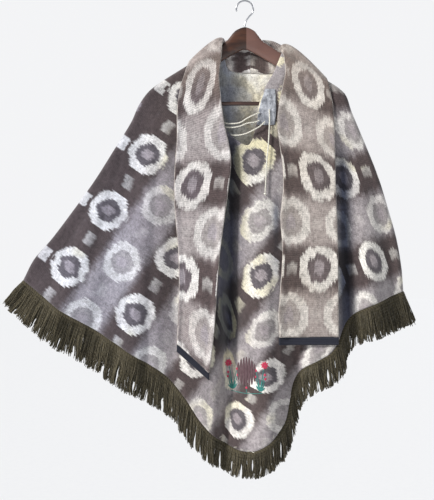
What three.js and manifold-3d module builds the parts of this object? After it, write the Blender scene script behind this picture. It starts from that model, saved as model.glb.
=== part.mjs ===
// A blanket poncho with a long shawl collar and a fringed hem, hung on a wooden hanger.
// Millimetres. X runs across the garment, the front faces -Y and +Z is up.
// The origin is inside the top of the hanger's hook, where a rail carries it.
import * as THREE from 'three';
import { mergeVertices } from 'three/addons/utils/BufferGeometryUtils.js';
import Module from 'manifold-3d';

const wasm = await Module();
wasm.setup();

// Driving dimensions
const CLOTH = 2.6; // thickness of the brushed blanket cloth
const FLAP = 3.0; // thickness of the fluffy flap beside the neck slit
const SEAM = 0.4; // space between two pieces that are sewn edge to edge
const FOLD_RADIUS = 12; // of the soft round fold over the shoulders and down the sides
const SHOULDER_TOP = -60; // height where the two shoulder lines would meet over the hanger
const SHOULDER_SLOPE = 0.68; // fall of the shoulder line for each millimetre outwards
const ARM_REACH = 215; // half the length of the hanger
const ARM_SWEEP = 18; // how far the arm tips come forward
const ARM_HALF_THICK = 8;
const ARM_TOP_DROP = 3.8; // from the shoulder line down to the wood, through the cloth
const NECK_LEFT = -52; // where the shoulder lines start, beside the neck
const NECK_RIGHT = 88;
const NECK_CENTRE = { x: 16, z: -97 }; // middle of the neck opening as seen from behind
const NECK_SEAM = 0.7; // space between the collar's sewn edge and the back's neckline
const BAR_HEIGHT = -243;
const BAR_RADIUS = 4.7;
const HOOK_WIRE = 4;
const HOOK_INNER_RADIUS = 18;
const LACE = 3; // thickness of the lace
const LAPEL_LIFT = 2.4; // how far the lapels lie off the front
const NECK_LIFT = 2.8; // the same where the collar turns over the shoulders
const BAND_DEPTH = 18; // of the dark end bands of the lapels
const HEADER = 9; // depth of the strip that the fringe grows from
const STRAND_PITCH = 12.5; // from one lock of the fringe to the next
const STRAND_WIDE = 8;
const STRAND_THICK = 2.2;
const FRONT_COLUMNS = 30; // of the front's grid, between its folded sides
const BACK_COLUMNS = 18;
const BODY_ROWS = 23;

// The two folded sides, from the neck over the shoulder tips to the hem's corners.
const LEFT_FOLD = [
  { x: NECK_LEFT, z: -95.4 },
  { x: -130, z: -148.4 },
  { x: -219, z: -209 },
  { x: -248, z: -246 },
  { x: -266, z: -286 },
  { x: -307, z: -351 },
  { x: -352, z: -421 },
  { x: -403, z: -491 },
  { x: -457, z: -562 },
  { x: -497, z: -608 },
  { x: -522, z: -656 },
];
const RIGHT_FOLD = [
  { x: NECK_RIGHT, z: -119.8 },
  { x: 160, z: -168.8 },
  { x: 232, z: -218 },
  { x: 250, z: -263 },
  { x: 283, z: -340 },
  { x: 314, z: -415 },
  { x: 339, z: -493 },
  { x: 358, z: -560 },
  { x: 370, z: -630 },
  { x: 374, z: -682 },
];
// Edge of the front at the neck: down the hidden left side of the slit, and up its right side.
const NECK_FRONT = [
  { x: NECK_LEFT, z: -95.4 },
  { x: -62, z: -140 },
  { x: -64, z: -190 },
  { x: -60, z: -240 },
  { x: -52, z: -290 },
  { x: -28, z: -322 },
  { x: 8, z: -341 },
  { x: 25, z: -297 },
  { x: 32, z: -250 },
  { x: 44, z: -212 },
  { x: 66, z: -172 },
  { x: NECK_RIGHT, z: -119.8 },
];
// Hem of the front without its fringe, from the left corner over the front point to the right one.
const HEM_FRONT = [
  { x: -522, z: -656 },
  { x: -433, z: -722 },
  { x: -351, z: -768 },
  { x: -269, z: -820 },
  { x: -187, z: -872 },
  { x: -140, z: -925 },
  { x: -105, z: -978 },
  { x: -70, z: -1015 },
  { x: -23, z: -1043 },
  { x: 12, z: -1047 },
  { x: 40, z: -1035 },
  { x: 66, z: -1015 },
  { x: 92, z: -978 },
  { x: 101, z: -940 },
  { x: 111, z: -892 },
  { x: 132, z: -860 },
  { x: 199, z: -820 },
  { x: 234, z: -755 },
  { x: 257, z: -731 },
  { x: 304, z: -710 },
  { x: 374, z: -682 },
];
const HEM_BACK = [
  { x: -522, z: -656 },
  { x: -351, z: -758 },
  { x: -200, z: -858 },
  { x: -105, z: -960 },
  { x: -30, z: -1026 },
  { x: 12, z: -1033 },
  { x: 60, z: -1000 },
  { x: 92, z: -932 },
  { x: 122, z: -860 },
  { x: 190, z: -806 },
  { x: 246, z: -730 },
  { x: 374, z: -682 },
];
// Folds of the hanging cloth: straight lines from top to foot, with a bell-shaped section.
// A positive depth is a trough and a negative one a ridge. One swells from the top depth to the foot depth.
const FRONT_FOLDS = [
  { name: 'centre trough', x0: -14, z0: -350, x1: -28, z1: -880, half: 21, top: 4, foot: 30 },
  { name: 'centre ridge', x0: 42, z0: -350, x1: 46, z1: -1050, half: 36, top: -3, foot: -24 },
  { name: 'drop beside the ridge', x0: 118, z0: -560, x1: 118, z1: -960, half: 24, top: 2, foot: 26 },
  { name: 'right trough', x0: 224, z0: -330, x1: 240, z1: -770, half: 24, top: 4, foot: 26 },
  { name: 'right roll', x0: 268, z0: -330, x1: 306, z1: -720, half: 34, top: -3, foot: -17 },
  { name: 'trough behind the lapel', x0: -165, z0: -330, x1: -172, z1: -900, half: 30, top: 2, foot: 12 },
  { name: 'left roll', x0: -205, z0: -270, x1: -262, z1: -850, half: 36, top: -2, foot: -13 },
  { name: 'left trough', x0: -232, z0: -260, x1: -352, z1: -800, half: 30, top: 3, foot: 12 },
  { name: 'outer roll', x0: -250, z0: -270, x1: -440, z1: -740, half: 32, top: -2, foot: -9 },
];
const BACK_FOLDS = [
  { name: 'left back trough', x0: -190, z0: -280, x1: -300, z1: -830, half: 34, top: 2, foot: 16 },
  { name: 'left back roll', x0: -150, z0: -300, x1: -200, z1: -870, half: 36, top: -2, foot: -14 },
  { name: 'middle back trough', x0: -60, z0: -340, x1: -70, z1: -960, half: 32, top: 2, foot: 18 },
  { name: 'middle back roll', x0: 20, z0: -320, x1: 14, z1: -1040, half: 38, top: -2, foot: -16 },
  { name: 'right back trough', x0: 130, z0: -320, x1: 150, z1: -840, half: 32, top: 2, foot: 16 },
  { name: 'right back roll', x0: 220, z0: -300, x1: 262, z1: -730, half: 34, top: -2, foot: -12 },
];
// How far the two halves swell away from the hanger: at the shoulders and more towards the hem.
const FRONT_SWELL = { shoulder: 15, hem: 44 };
const BACK_SWELL = { shoulder: 11, hem: 24 };

// The collar at the neck, from centre back to the shoulder. Each row is a section of the strip:
// the sewn edge, two points that pull the roll up, and the free edge.
const COLLAR_LEFT_NECK = [
  { place: 'centre back', seam: [14, 19, -166], rise: [14, 12, -60], fall: [14, 50, -48], edge: [14, 36, -212] },
  { place: 'back', seam: [-22, 17, -163], rise: [-24, 12, -60], fall: [-38, 48, -48], edge: [-60, 36, -210] },
  { place: 'beside the neck', seam: [-42, 13, -150], rise: [-45, 12, -68], fall: [-68, 40, -66], edge: [-112, 30, -192] },
  { place: 'shoulder', seam: [-51.3, 0, -94.8], rise: [-46, 0, -80], fall: [-82, -2, -90], edge: [-126, -6, -141] },
];
const COLLAR_RIGHT_NECK = [
  { place: 'centre back', seam: [14, 19, -166], rise: [14, 12, -60], fall: [14, 50, -48], edge: [14, 36, -212] },
  { place: 'back', seam: [55, 17, -168], rise: [54, 12, -62], fall: [68, 48, -50], edge: [90, 36, -212] },
  { place: 'beside the neck', seam: [80, 14, -160], rise: [80, 12, -82], fall: [106, 40, -78], edge: [152, 30, -206] },
  { place: 'shoulder', seam: [87.3, 0, -118.2], rise: [82, 0, -84], fall: [138, -2, -120], edge: [186, -13, -181] },
];
// The lapels below the shoulder: each row has the inner and the outer end of a line across the strip.
const LAPEL_LEFT = [
  { xIn: -56, zIn: -134, xOut: -146, zOut: -190 },
  { xIn: -61, zIn: -176, xOut: -155, zOut: -232 },
  { xIn: -58, zIn: -223, xOut: -158, zOut: -272 },
  { xIn: -49, zIn: -293, xOut: -158, zOut: -328 },
  { xIn: -34, zIn: -370, xOut: -162, zOut: -385 },
  { xIn: -40, zIn: -446, xOut: -164, zOut: -455 },
  { xIn: -50, zIn: -520, xOut: -160, zOut: -522 },
  { xIn: -60, zIn: -600, xOut: -154, zOut: -590 },
  { xIn: -67, zIn: -690, xOut: -152, zOut: -665 },
  { xIn: -73, zIn: -780, xOut: -154, zOut: -735 },
  { xIn: -84, zIn: -866, xOut: -157, zOut: -801 },
];
const LAPEL_RIGHT = [
  { xIn: 95, zIn: -164, xOut: 201, zOut: -232 },
  { xIn: 89, zIn: -202, xOut: 205, zOut: -268 },
  { xIn: 79, zIn: -250, xOut: 207, zOut: -308 },
  { xIn: 76, zIn: -305, xOut: 208, zOut: -352 },
  { xIn: 86, zIn: -380, xOut: 209, zOut: -412 },
  { xIn: 89, zIn: -440, xOut: 210, zOut: -462 },
  { xIn: 82, zIn: -510, xOut: 212, zOut: -520 },
  { xIn: 86, zIn: -586, xOut: 213, zOut: -590 },
  { xIn: 81, zIn: -668, xOut: 213, zOut: -668 },
  { xIn: 76, zIn: -726, xOut: 213, zOut: -728 },
  { xIn: 77, zIn: -785, xOut: 213, zOut: -785 },
];
// The flap turned back beside the slit.
const PLACKET_ROWS = [
  { z: -210, xIn: 48, xOut: 70 },
  { z: -238, xIn: 38, xOut: 72 },
  { z: -266, xIn: 31, xOut: 72 },
  { z: -294, xIn: 28, xOut: 69 },
];
// The lace: points across the slit, from the flap to behind the left edge. Free end: down the front.
const LACE_UPPER = [
  { x: 34, y: -32.7, z: -266 },
  { x: 22, y: -34.5, z: -271 },
  { x: 5, y: -33, z: -279 },
  { x: -12, y: -30.5, z: -289 },
  { x: -36, y: -26, z: -291 },
  { x: -52, y: -22.5, z: -287 },
  { x: -66, y: -22, z: -281 },
];
const LACE_MIDDLE = [
  { x: 33, y: -34, z: -284 },
  { x: 24, y: -34.8, z: -288 },
  { x: 5, y: -33, z: -291 },
  { x: -14, y: -30, z: -298 },
  { x: -34, y: -26, z: -300 },
  { x: -52, y: -22.5, z: -296 },
  { x: -64, y: -22, z: -291 },
];
const LACE_LOWER = [
  { x: 46, y: -34.5, z: -287 },
  { x: 36, y: -36, z: -297 },
  { x: 23, y: -36.4, z: -305 },
  { x: 4, y: -33, z: -314 },
  { x: -14, y: -28, z: -318 },
  { x: -32, y: -23, z: -317 },
  { x: -48, y: -22, z: -311 },
];
const LACE_END = [
  { x: 56, z: -258 },
  { x: 57, z: -280 },
  { x: 56, z: -305 },
  { x: 54, z: -340 },
  { x: 50, z: -380 },
  { x: 48, z: -420 },
  { x: 46, z: -452 },
];
const LACE_END_OFF_CLOTH = 5.8; // from the front's face to the middle of the hanging end
// Lean of the fringe, outwards over down, at places along the hem.
const LEAN = [
  { x: -522, lean: -0.9 },
  { x: -470, lean: -0.5 },
  { x: -380, lean: -0.28 },
  { x: -200, lean: -0.12 },
  { x: -60, lean: -0.05 },
  { x: 60, lean: 0.05 },
  { x: 110, lean: 0.16 },
  { x: 250, lean: 0.1 },
  { x: 374, lean: 0.3 },
];
// Length of the fringe below its strip.
const REACH = [
  { x: -522, reach: 62 },
  { x: -433, reach: 70 },
  { x: -269, reach: 74 },
  { x: -140, reach: 66 },
  { x: -70, reach: 54 },
  { x: 40, reach: 50 },
  { x: 110, reach: 56 },
  { x: 220, reach: 60 },
  { x: 300, reach: 66 },
  { x: 374, reach: 70 },
];

const clamp = (v, low = 0, high = 1) => Math.min(high, Math.max(low, v));
const soft = (v) => {
  const t = clamp(v);
  return t * t * (3 - 2 * t);
};
const mix = (a, b, t) => a + (b - a) * t;
const flat = (rows) => rows.map((r) => [r.x, r.z]);

// Value of one column of a table at x, by straight lines between its rows.
function lookUp(rows, column, x) {
  const i = rows.findIndex((r) => r.x >= x);
  if (i < 0) return rows.at(-1)[column];
  if (i === 0) return rows[0][column];
  const t = (x - rows[i - 1].x) / (rows[i].x - rows[i - 1].x);
  return mix(rows[i - 1][column], rows[i][column], t);
}

// Smooth curve through points of any number of coordinates, at a share from 0 to 1 of its chord length.
// Each slope is the chord between a point's two neighbours, and the pieces are Hermite cubics.
function chordStops(points) {
  const stops = [0];
  for (let i = 1; i < points.length; i++) {
    stops.push(stops[i - 1] + Math.hypot(...points[i].map((v, k) => v - points[i - 1][k])));
  }
  return stops;
}
function smoothLine(points, stops = chordStops(points)) {
  const last = points.length - 1;
  const slopes = points.map((p, i) => {
    const a = Math.max(i - 1, 0);
    const b = Math.min(i + 1, last);
    return p.map((_, k) => (points[b][k] - points[a][k]) / (stops[b] - stops[a]));
  });
  return (share) => {
    const at = share * stops[last];
    let i = 0;
    while (i < last - 1 && at > stops[i + 1]) i++;
    const h = stops[i + 1] - stops[i];
    const t = (at - stops[i]) / h;
    const a = 2 * t ** 3 - 3 * t ** 2 + 1;
    const b = (t ** 3 - 2 * t ** 2 + t) * h;
    const c = 3 * t ** 2 - 2 * t ** 3;
    const d = (t ** 3 - t ** 2) * h;
    return points[i].map(
      (v, k) => a * v + b * slopes[i][k] + c * points[i + 1][k] + d * slopes[i + 1][k],
    );
  };
}

const leftFold = smoothLine(flat(LEFT_FOLD));
const rightFold = smoothLine(flat(RIGHT_FOLD));

// Straight pieces of the two folds, with the direction into the cloth, for measuring how far in a point is.
const FOLD_STEPS = 60;
function foldPieces(line, inwardX) {
  const pieces = [];
  for (let i = 0; i < FOLD_STEPS; i++) {
    const a = line(i / FOLD_STEPS);
    const b = line((i + 1) / FOLD_STEPS);
    const length = Math.hypot(b[0] - a[0], b[1] - a[1]);
    const along = [(b[0] - a[0]) / length, (b[1] - a[1]) / length];
    const inward = [-along[1] * inwardX, along[0] * inwardX];
    pieces.push({ a, along, inward, length });
  }
  return pieces;
}
const FOLDS = [...foldPieces(leftFold, 1), ...foldPieces(rightFold, -1)];

// Depth of a point inside the nearer folded side, and the direction inwards, both in the X-Z plane.
function foldDepth(x, z) {
  let best = { far: Infinity };
  for (const piece of FOLDS) {
    const dx = x - piece.a[0];
    const dz = z - piece.a[1];
    const along = clamp(dx * piece.along[0] + dz * piece.along[1], 0, piece.length);
    const far = Math.hypot(dx - along * piece.along[0], dz - along * piece.along[1]);
    if (far < best.far - 1e-9) {
      const depth = dx * piece.inward[0] + dz * piece.inward[1];
      best = { far, depth, inward: piece.inward };
    }
  }
  return best;
}

// How far the middle of the garment comes forward with the hanger's arms, fading below them.
const sweep = (x) => -ARM_SWEEP * Math.min(1, (x / ARM_REACH) ** 2);
const middle = (x, z) => sweep(x) * (1 - soft((-z - 260) / 300));

// Height of all the folds at a point, or of the ridges alone.
function foldHeight(folds, x, z, ridgesOnly = false) {
  let sum = 0;
  for (const f of folds) {
    if (ridgesOnly && f.foot > 0) continue;
    const t = (f.z0 - z) / (f.z0 - f.z1);
    const across = (x - mix(f.x0, f.x1, t)) / f.half;
    const ends = soft((t + 0.12) / 0.24);
    sum += mix(f.top, f.foot, soft(t)) * ends * Math.exp(-across * across);
  }
  return sum;
}

// Outer face of a half: side is -1 for the front and 1 for the back.
function faceY(x, z, side, ridgesOnly = false) {
  const { depth } = foldDepth(x, z);
  const inside = clamp(depth / FOLD_RADIUS);
  const round = FOLD_RADIUS * Math.sqrt(1 - (1 - inside) ** 2);
  const swell = side < 0 ? FRONT_SWELL : BACK_SWELL;
  const full = mix(swell.shoulder, swell.shoulder + swell.hem, soft((-z - 250) / 700));
  const folds = side < 0 ? FRONT_FOLDS : BACK_FOLDS;
  const pleat = foldHeight(folds, x, z, ridgesOnly) * soft(depth / 50);
  const out = round + full * soft(depth / 160) - pleat;
  return middle(x, z) + side * out;
}
const frontY = (x, z) => faceY(x, z, -1);

// Keeps a point of the collar outside the cloth below it by a lift.
function clearOfBody(x, y, z, lift) {
  const { depth } = foldDepth(x, z);
  const ridge = middle(x, z);
  const side = y < ridge ? -1 : 1;
  if (depth < FOLD_RADIUS) {
    const reach = (FOLD_RADIUS + lift) ** 2 - (FOLD_RADIUS - depth) ** 2;
    if (reach <= 0) return y;
    const limit = ridge + side * Math.sqrt(reach);
    return side < 0 ? Math.min(y, limit) : Math.max(y, limit);
  }
  const limit = faceY(x, z, side, true) + side * lift;
  return side < 0 ? Math.min(y, limit) : Math.max(y, limit);
}

// One closed solid from two equal grids of points, its outer and its inner face.
function wall(outer, inner) {
  const rows = outer.length;
  const columns = outer[0].length;
  const half = rows * columns;
  const positions = [...outer.flat(), ...inner.flat()].flat();
  const at = (r, c) => r * columns + c;
  const index = [];
  const quad = (a, b, c, d) => index.push(a, b, c, a, c, d);
  for (let r = 0; r < rows - 1; r++) {
    for (let c = 0; c < columns - 1; c++) {
      quad(at(r, c), at(r + 1, c), at(r + 1, c + 1), at(r, c + 1));
      quad(half + at(r, c), half + at(r, c + 1), half + at(r + 1, c + 1), half + at(r + 1, c));
    }
  }
  const rim = [];
  for (let c = 0; c < columns - 1; c++) rim.push(at(0, c));
  for (let r = 0; r < rows - 1; r++) rim.push(at(r, columns - 1));
  for (let c = columns - 1; c > 0; c--) rim.push(at(rows - 1, c));
  for (let r = rows - 1; r > 0; r--) rim.push(at(r, 0));
  rim.forEach((a, i) => {
    const b = rim[(i + 1) % rim.length];
    quad(a, b, half + b, half + a);
  });
  const geometry = new THREE.BufferGeometry();
  geometry.setAttribute('position', new THREE.Float32BufferAttribute(positions, 3));
  geometry.setIndex(index);
  if (signedVolume(geometry) < 0) geometry.setIndex(index.reverse());
  geometry.computeVertexNormals();
  return geometry;
}
function signedVolume(geometry) {
  const p = geometry.getAttribute('position');
  const index = geometry.getIndex();
  const [a, b, c] = [new THREE.Vector3(), new THREE.Vector3(), new THREE.Vector3()];
  let sum = 0;
  for (let i = 0; i < index.count; i += 3) {
    a.fromBufferAttribute(p, index.getX(i));
    b.fromBufferAttribute(p, index.getX(i + 1));
    c.fromBufferAttribute(p, index.getX(i + 2));
    sum += a.dot(b.cross(c));
  }
  return sum;
}

// Shares across a half: close together in the round folds, even between them.
function columnShares(count) {
  const edge = [0, 0.0016, 0.0055, 0.011, 0.019, 0.03];
  const inside = 1 - 2 * edge.at(-1);
  const shares = [...edge];
  for (let i = 1; i < count; i++) shares.push(edge.at(-1) + (inside * i) / count);
  return [...shares, ...edge.map((v) => 1 - v).reverse()];
}

// Grid of points of one half: a patch spread between its neckline, hem and two folded sides.
function halfPoints(neck, hem, side, columns) {
  const corner = { nl: neck(0), nr: neck(1), hl: hem(0), hr: hem(1) };
  const shares = columnShares(columns);
  const rows = [];
  for (let r = 0; r < BODY_ROWS; r++) {
    const v = r / (BODY_ROWS - 1);
    const left = leftFold(v);
    const right = rightFold(v);
    rows.push(
      shares.map((u) => {
        const top = neck(u);
        const foot = hem(u);
        const [x, z] = [0, 1].map((k) => {
          const ruled = mix(top[k], foot[k], v) + mix(left[k], right[k], u);
          const bent = mix(mix(corner.nl[k], corner.nr[k], u), mix(corner.hl[k], corner.hr[k], u), v);
          return ruled - bent;
        });
        return [x, faceY(x, z, side) + (side * SEAM) / 2, z];
      }),
    );
  }
  return rows;
}
// Direction through the cloth at a point of a half: straight back in the middle, inwards at the folds.
function throughCloth([x, , z], side) {
  const { depth, inward } = foldDepth(x, z);
  const flatShare = 1 - clamp(depth / FOLD_RADIUS);
  const back = -side * Math.sqrt(1 - flatShare ** 2);
  return [inward[0] * flatShare, back, inward[1] * flatShare];
}
const shifted = (p, by, amount) => p.map((v, k) => v + by[k] * amount);
function halfWall(points, side) {
  const inner = points.map((row) => row.map((p) => shifted(p, throughCloth(p, side), CLOTH)));
  return wall(points, inner);
}

// Normals of a grid of points, from the chords along its rows and columns.
function gridNormals(grid, turn) {
  const rows = grid.length;
  const columns = grid[0].length;
  const chord = (a, b) => new THREE.Vector3(...b).sub(new THREE.Vector3(...a));
  return grid.map((row, r) =>
    row.map((_, c) => {
      const down = chord(grid[Math.max(r - 1, 0)][c], grid[Math.min(r + 1, rows - 1)][c]);
      const across = chord(row[Math.max(c - 1, 0)], row[Math.min(c + 1, columns - 1)]);
      return down.cross(across).normalize().multiplyScalar(turn).toArray();
    }),
  );
}

// One half of the collar: cubic sections at the neck, straight ones on the lapel, smooth along its length.
const COLLAR_COLUMNS = 8;
const NECK_STEPS = 6; // grid rows between two table rows at the neck
const LAPEL_STEPS = 2;
function collarLine(neckRows, lapelRows) {
  const control = (name, share) => {
    const neck = neckRows.map((r) => r[name]);
    const lapel = lapelRows.map((r) => {
      const x = mix(r.xIn, r.xOut, share);
      const z = mix(r.zIn, r.zOut, share);
      return [x, faceY(x, z, -1, true) - LAPEL_LIFT, z];
    });
    const points = [...neck, ...lapel];
    return smoothLine(points, points.map((_, i) => i));
  };
  const lines = [control('seam', 0), control('rise', 1 / 3), control('fall', 2 / 3), control('edge', 1)];
  const last = neckRows.length + lapelRows.length - 1;
  const shoulder = neckRows.length - 1;
  // The sewn edge keeps to the neckline: on the back's face, over the shoulder, then off the front's face.
  const sewn = (row, [x, y, z]) => {
    if (row < shoulder) return [x, faceY(x, z, 1), z];
    if (row === shoulder) return [x, middle(x, z), z];
    const lift = LAPEL_LIFT * Math.min(1, 5 * (row - shoulder));
    return row < shoulder + 1 ? [x, faceY(x, z, -1) - lift, z] : [x, y, z];
  };
  return (row, q) => {
    const [a, b, c, d] = lines.map((line) => line(row / last));
    a.splice(0, 3, ...sewn(row, a));
    const p = 1 - q;
    return a.map(
      (v, k) => p ** 3 * v + 3 * p * p * q * b[k] + 3 * p * q * q * c[k] + q ** 3 * d[k],
    );
  };
}
function collarGrid(neckRows, lapelRows) {
  const line = collarLine(neckRows, lapelRows);
  const turns = [];
  const neckEnd = neckRows.length;
  for (let i = 0; i < neckEnd * NECK_STEPS; i++) turns.push(i / NECK_STEPS);
  for (let i = 0; i <= (lapelRows.length - 1) * LAPEL_STEPS; i++) turns.push(neckEnd + i / LAPEL_STEPS);
  return turns.map((row) => {
    const points = [];
    for (let c = 0; c <= COLLAR_COLUMNS; c++) {
      const [x, y, z] = line(row, c / COLLAR_COLUMNS);
      const nearNeck = 1 - soft((row - neckEnd) / 1.5);
      const stands = row < neckEnd - 1 ? c < COLLAR_COLUMNS / 2 : row < neckEnd && c === 0;
      const lift = mix(LAPEL_LIFT, NECK_LIFT, nearNeck);
      points.push([x, stands ? y : clearOfBody(x, y, z, lift), z]);
    }
    return points;
  });
}
function collarWall(grid, turn, thick) {
  const normals = gridNormals(grid, turn);
  normals[0] = normals[0].map(([, y, z]) => new THREE.Vector3(0, y, z).normalize().toArray());
  const outer = grid.map((row, r) => row.map((p, c) => shifted(p, normals[r][c], thick)));
  return wall(outer, grid);
}

// A short strip that carries on from the end of a lapel, a seam away.
function bandGrid(lapelRows) {
  const end = lapelRows.at(-1);
  return [SEAM, BAND_DEPTH / 2, BAND_DEPTH].map((down) => {
    const row = [];
    for (let c = 0; c <= COLLAR_COLUMNS; c++) {
      const x = mix(end.xIn, end.xOut, c / COLLAR_COLUMNS);
      const z = mix(end.zIn, end.zOut, c / COLLAR_COLUMNS) - down;
      row.push([x, faceY(x, z, -1, true) - LAPEL_LIFT, z]);
    }
    return row;
  });
}
function sheetWall(grid, thick) {
  return wall(grid.map((row) => row.map(([x, y, z]) => [x, y - thick, z])), grid);
}

// The flap beside the slit, a strip of points moved off the front.
function placketGrid() {
  return PLACKET_ROWS.map((r) =>
    [0, 0.25, 0.5, 0.75, 1].map((q) => {
      const x = mix(r.xIn, r.xOut, q);
      return [x, frontY(x, r.z) - 0.8, r.z];
    }),
  );
}

// Solids for joining and cutting, and back.
function toSolid(geometry) {
  const plain = geometry.clone();
  plain.deleteAttribute('normal');
  plain.deleteAttribute('uv');
  const merged = mergeVertices(plain, 1e-4);
  return new wasm.Manifold(
    new wasm.Mesh({
      numProp: 3,
      vertProperties: new Float32Array(merged.getAttribute('position').array),
      triVerts: new Uint32Array(merged.getIndex().array),
    }),
  );
}
function toGeometry(solid) {
  const mesh = solid.getMesh();
  const geometry = new THREE.BufferGeometry();
  geometry.setAttribute('position', new THREE.Float32BufferAttribute(mesh.vertProperties, 3));
  geometry.setIndex([...mesh.triVerts]);
  geometry.computeVertexNormals();
  return geometry;
}

// The fringe of one stretch of hem: a strip that carries on the cloth, and locks that grow from its foot.
function hemFrames(points, side) {
  const edge = points.at(-1);
  return edge.map((p, i) => {
    const a = edge[Math.max(i - 1, 0)];
    const b = edge[Math.min(i + 1, edge.length - 1)];
    const length = Math.hypot(b[0] - a[0], b[2] - a[2]);
    const down = [(b[2] - a[2]) / length, 0, -(b[0] - a[0]) / length];
    return { p, down, through: throughCloth(p, side) };
  });
}
function fringe(frames) {
  const row = (f, drop) => shifted(f.p, f.down, drop);
  const drops = [SEAM, HEADER];
  const outer = drops.map((drop) => frames.map((f) => row(f, drop)));
  const inner = drops.map((drop) => frames.map((f) => shifted(row(f, drop), f.through, CLOTH)));
  let solid = toSolid(wall(outer, inner));
  for (const lock of lockPlaces(frames)) solid = solid.add(toSolid(strand(lock)));
  return toGeometry(solid);
}
// Places of the locks along a strip, one pitch apart as seen across the way they hang.
function lockPlaces(frames) {
  const chords = frames.slice(1).map((f, i) => f.p.map((v, k) => v - frames[i].p[k]));
  const stops = [0];
  chords.forEach((chord, i) => {
    const hang = new THREE.Vector3(lookUp(LEAN, 'lean', frames[i].p[0]), 0, -1).normalize();
    stops.push(stops[i] + new THREE.Vector3(...chord).cross(hang).length());
  });
  const count = Math.floor(stops.at(-1) / STRAND_PITCH);
  return Array.from({ length: count }, (_, lock) => {
    const at = ((lock + 0.5) * stops.at(-1)) / count;
    const i = stops.findIndex((stop) => stop > at) - 1;
    const t = (at - stops[i]) / (stops[i + 1] - stops[i]);
    const blend = (key) => frames[i][key].map((v, k) => mix(v, frames[i + 1][key][k], t));
    return { p: blend('p'), down: blend('down'), through: blend('through'), chord: chords[i] };
  });
}
// One lock: a tapering strand with three sides.
function strand({ p, down, through, chord }) {
  const reach = lookUp(REACH, 'reach', p[0]);
  const lean = lookUp(LEAN, 'lean', p[0]);
  const hang = new THREE.Vector3(lean, 0, -1).normalize();
  const root = new THREE.Vector3(...shifted(shifted(p, down, HEADER - 1.2), through, CLOTH / 2));
  const tip = root.clone().addScaledVector(hang, reach);
  const along = new THREE.Vector3(...chord).normalize();
  const thick = new THREE.Vector3(...through).normalize();
  const ring = (at, wide, deep) => [
    at.clone().addScaledVector(along, -wide / 2).addScaledVector(thick, -deep / 2),
    at.clone().addScaledVector(along, wide / 2).addScaledVector(thick, -deep / 2),
    at.clone().addScaledVector(thick, deep / 2),
  ];
  const corners = [...ring(root, STRAND_WIDE, STRAND_THICK), ...ring(tip, STRAND_WIDE * 0.3, STRAND_THICK * 0.5)];
  const index = [0, 1, 2, 3, 5, 4];
  for (let i = 0; i < 3; i++) {
    const j = (i + 1) % 3;
    index.push(i, 3 + i, 3 + j, i, 3 + j, j);
  }
  const geometry = new THREE.BufferGeometry().setFromPoints(corners);
  geometry.setIndex(index);
  if (signedVolume(geometry) < 0) geometry.setIndex(index.reverse());
  return geometry;
}

// A round cord through points, with closed ends.
class PointCurve extends THREE.Curve {
  constructor(line) {
    super();
    this.line = line;
  }
  getPoint(t, target = new THREE.Vector3()) {
    return target.set(...this.line(clamp(t)));
  }
}
function roundCord(points, width, steps, sides) {
  const section = new THREE.Shape(
    Array.from({ length: sides }, (_, i) => {
      const angle = (2 * Math.PI * i) / sides;
      return new THREE.Vector2((width / 2) * Math.cos(angle), (width / 2) * Math.sin(angle));
    }),
  );
  const path = new PointCurve(smoothLine(points));
  return new THREE.ExtrudeGeometry(section, { steps, extrudePath: path, bevelEnabled: false });
}
const laceGeometry = (rows, steps) => roundCord(rows.map((r) => [r.x, r.y, r.z]), LACE, steps, 8);
const laceEndPoints = () =>
  LACE_END.map((r) => [r.x, faceY(r.x, r.z, -1, true) - LACE_END_OFF_CLOTH, r.z]);
function knotGeometry() {
  const [x, y, z] = laceEndPoints().at(-1);
  const radius = LACE * 1.15;
  const knot = new THREE.SphereGeometry(radius, 10, 8);
  knot.translate(x, y, z - radius - SEAM);
  return knot;
}

// The hanger's arms: oval sections from tip to tip, deeper at the tips where the bar is let in.
const ARM_STATIONS = 28;
const SECTION_POINTS = 12;
const LOBE_FOOT = -254;
const DOME = 13; // how far the arms rise above their own slope in the middle
function armSection(x) {
  const dome = DOME * (1 - soft((Math.abs(x) - 20) / 27));
  const top = SHOULDER_TOP - ARM_TOP_DROP - SHOULDER_SLOPE * Math.hypot(x, 14) + dome;
  const under = mix(-107.4 - 0.61 * Math.hypot(x, 10), LOBE_FOOT, soft((Math.abs(x) - 178) / 16));
  const tip = clamp((Math.abs(x) - (ARM_REACH - 13)) / 13);
  const shrink = Math.sqrt(1 - 0.86 * tip * tip);
  const halfTall = ((top - under) / 2) * shrink;
  const centre = (top + under) / 2;
  const points = [];
  for (let i = 0; i < SECTION_POINTS; i++) {
    const angle = (2 * Math.PI * (i + 0.5)) / SECTION_POINTS;
    const bent = (v) => Math.sign(v) * Math.abs(v) ** (2 / 2.7);
    const y = sweep(x) + ARM_HALF_THICK * shrink * bent(Math.cos(angle));
    points.push([x, y, centre + halfTall * bent(Math.sin(angle))]);
  }
  return points;
}
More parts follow.
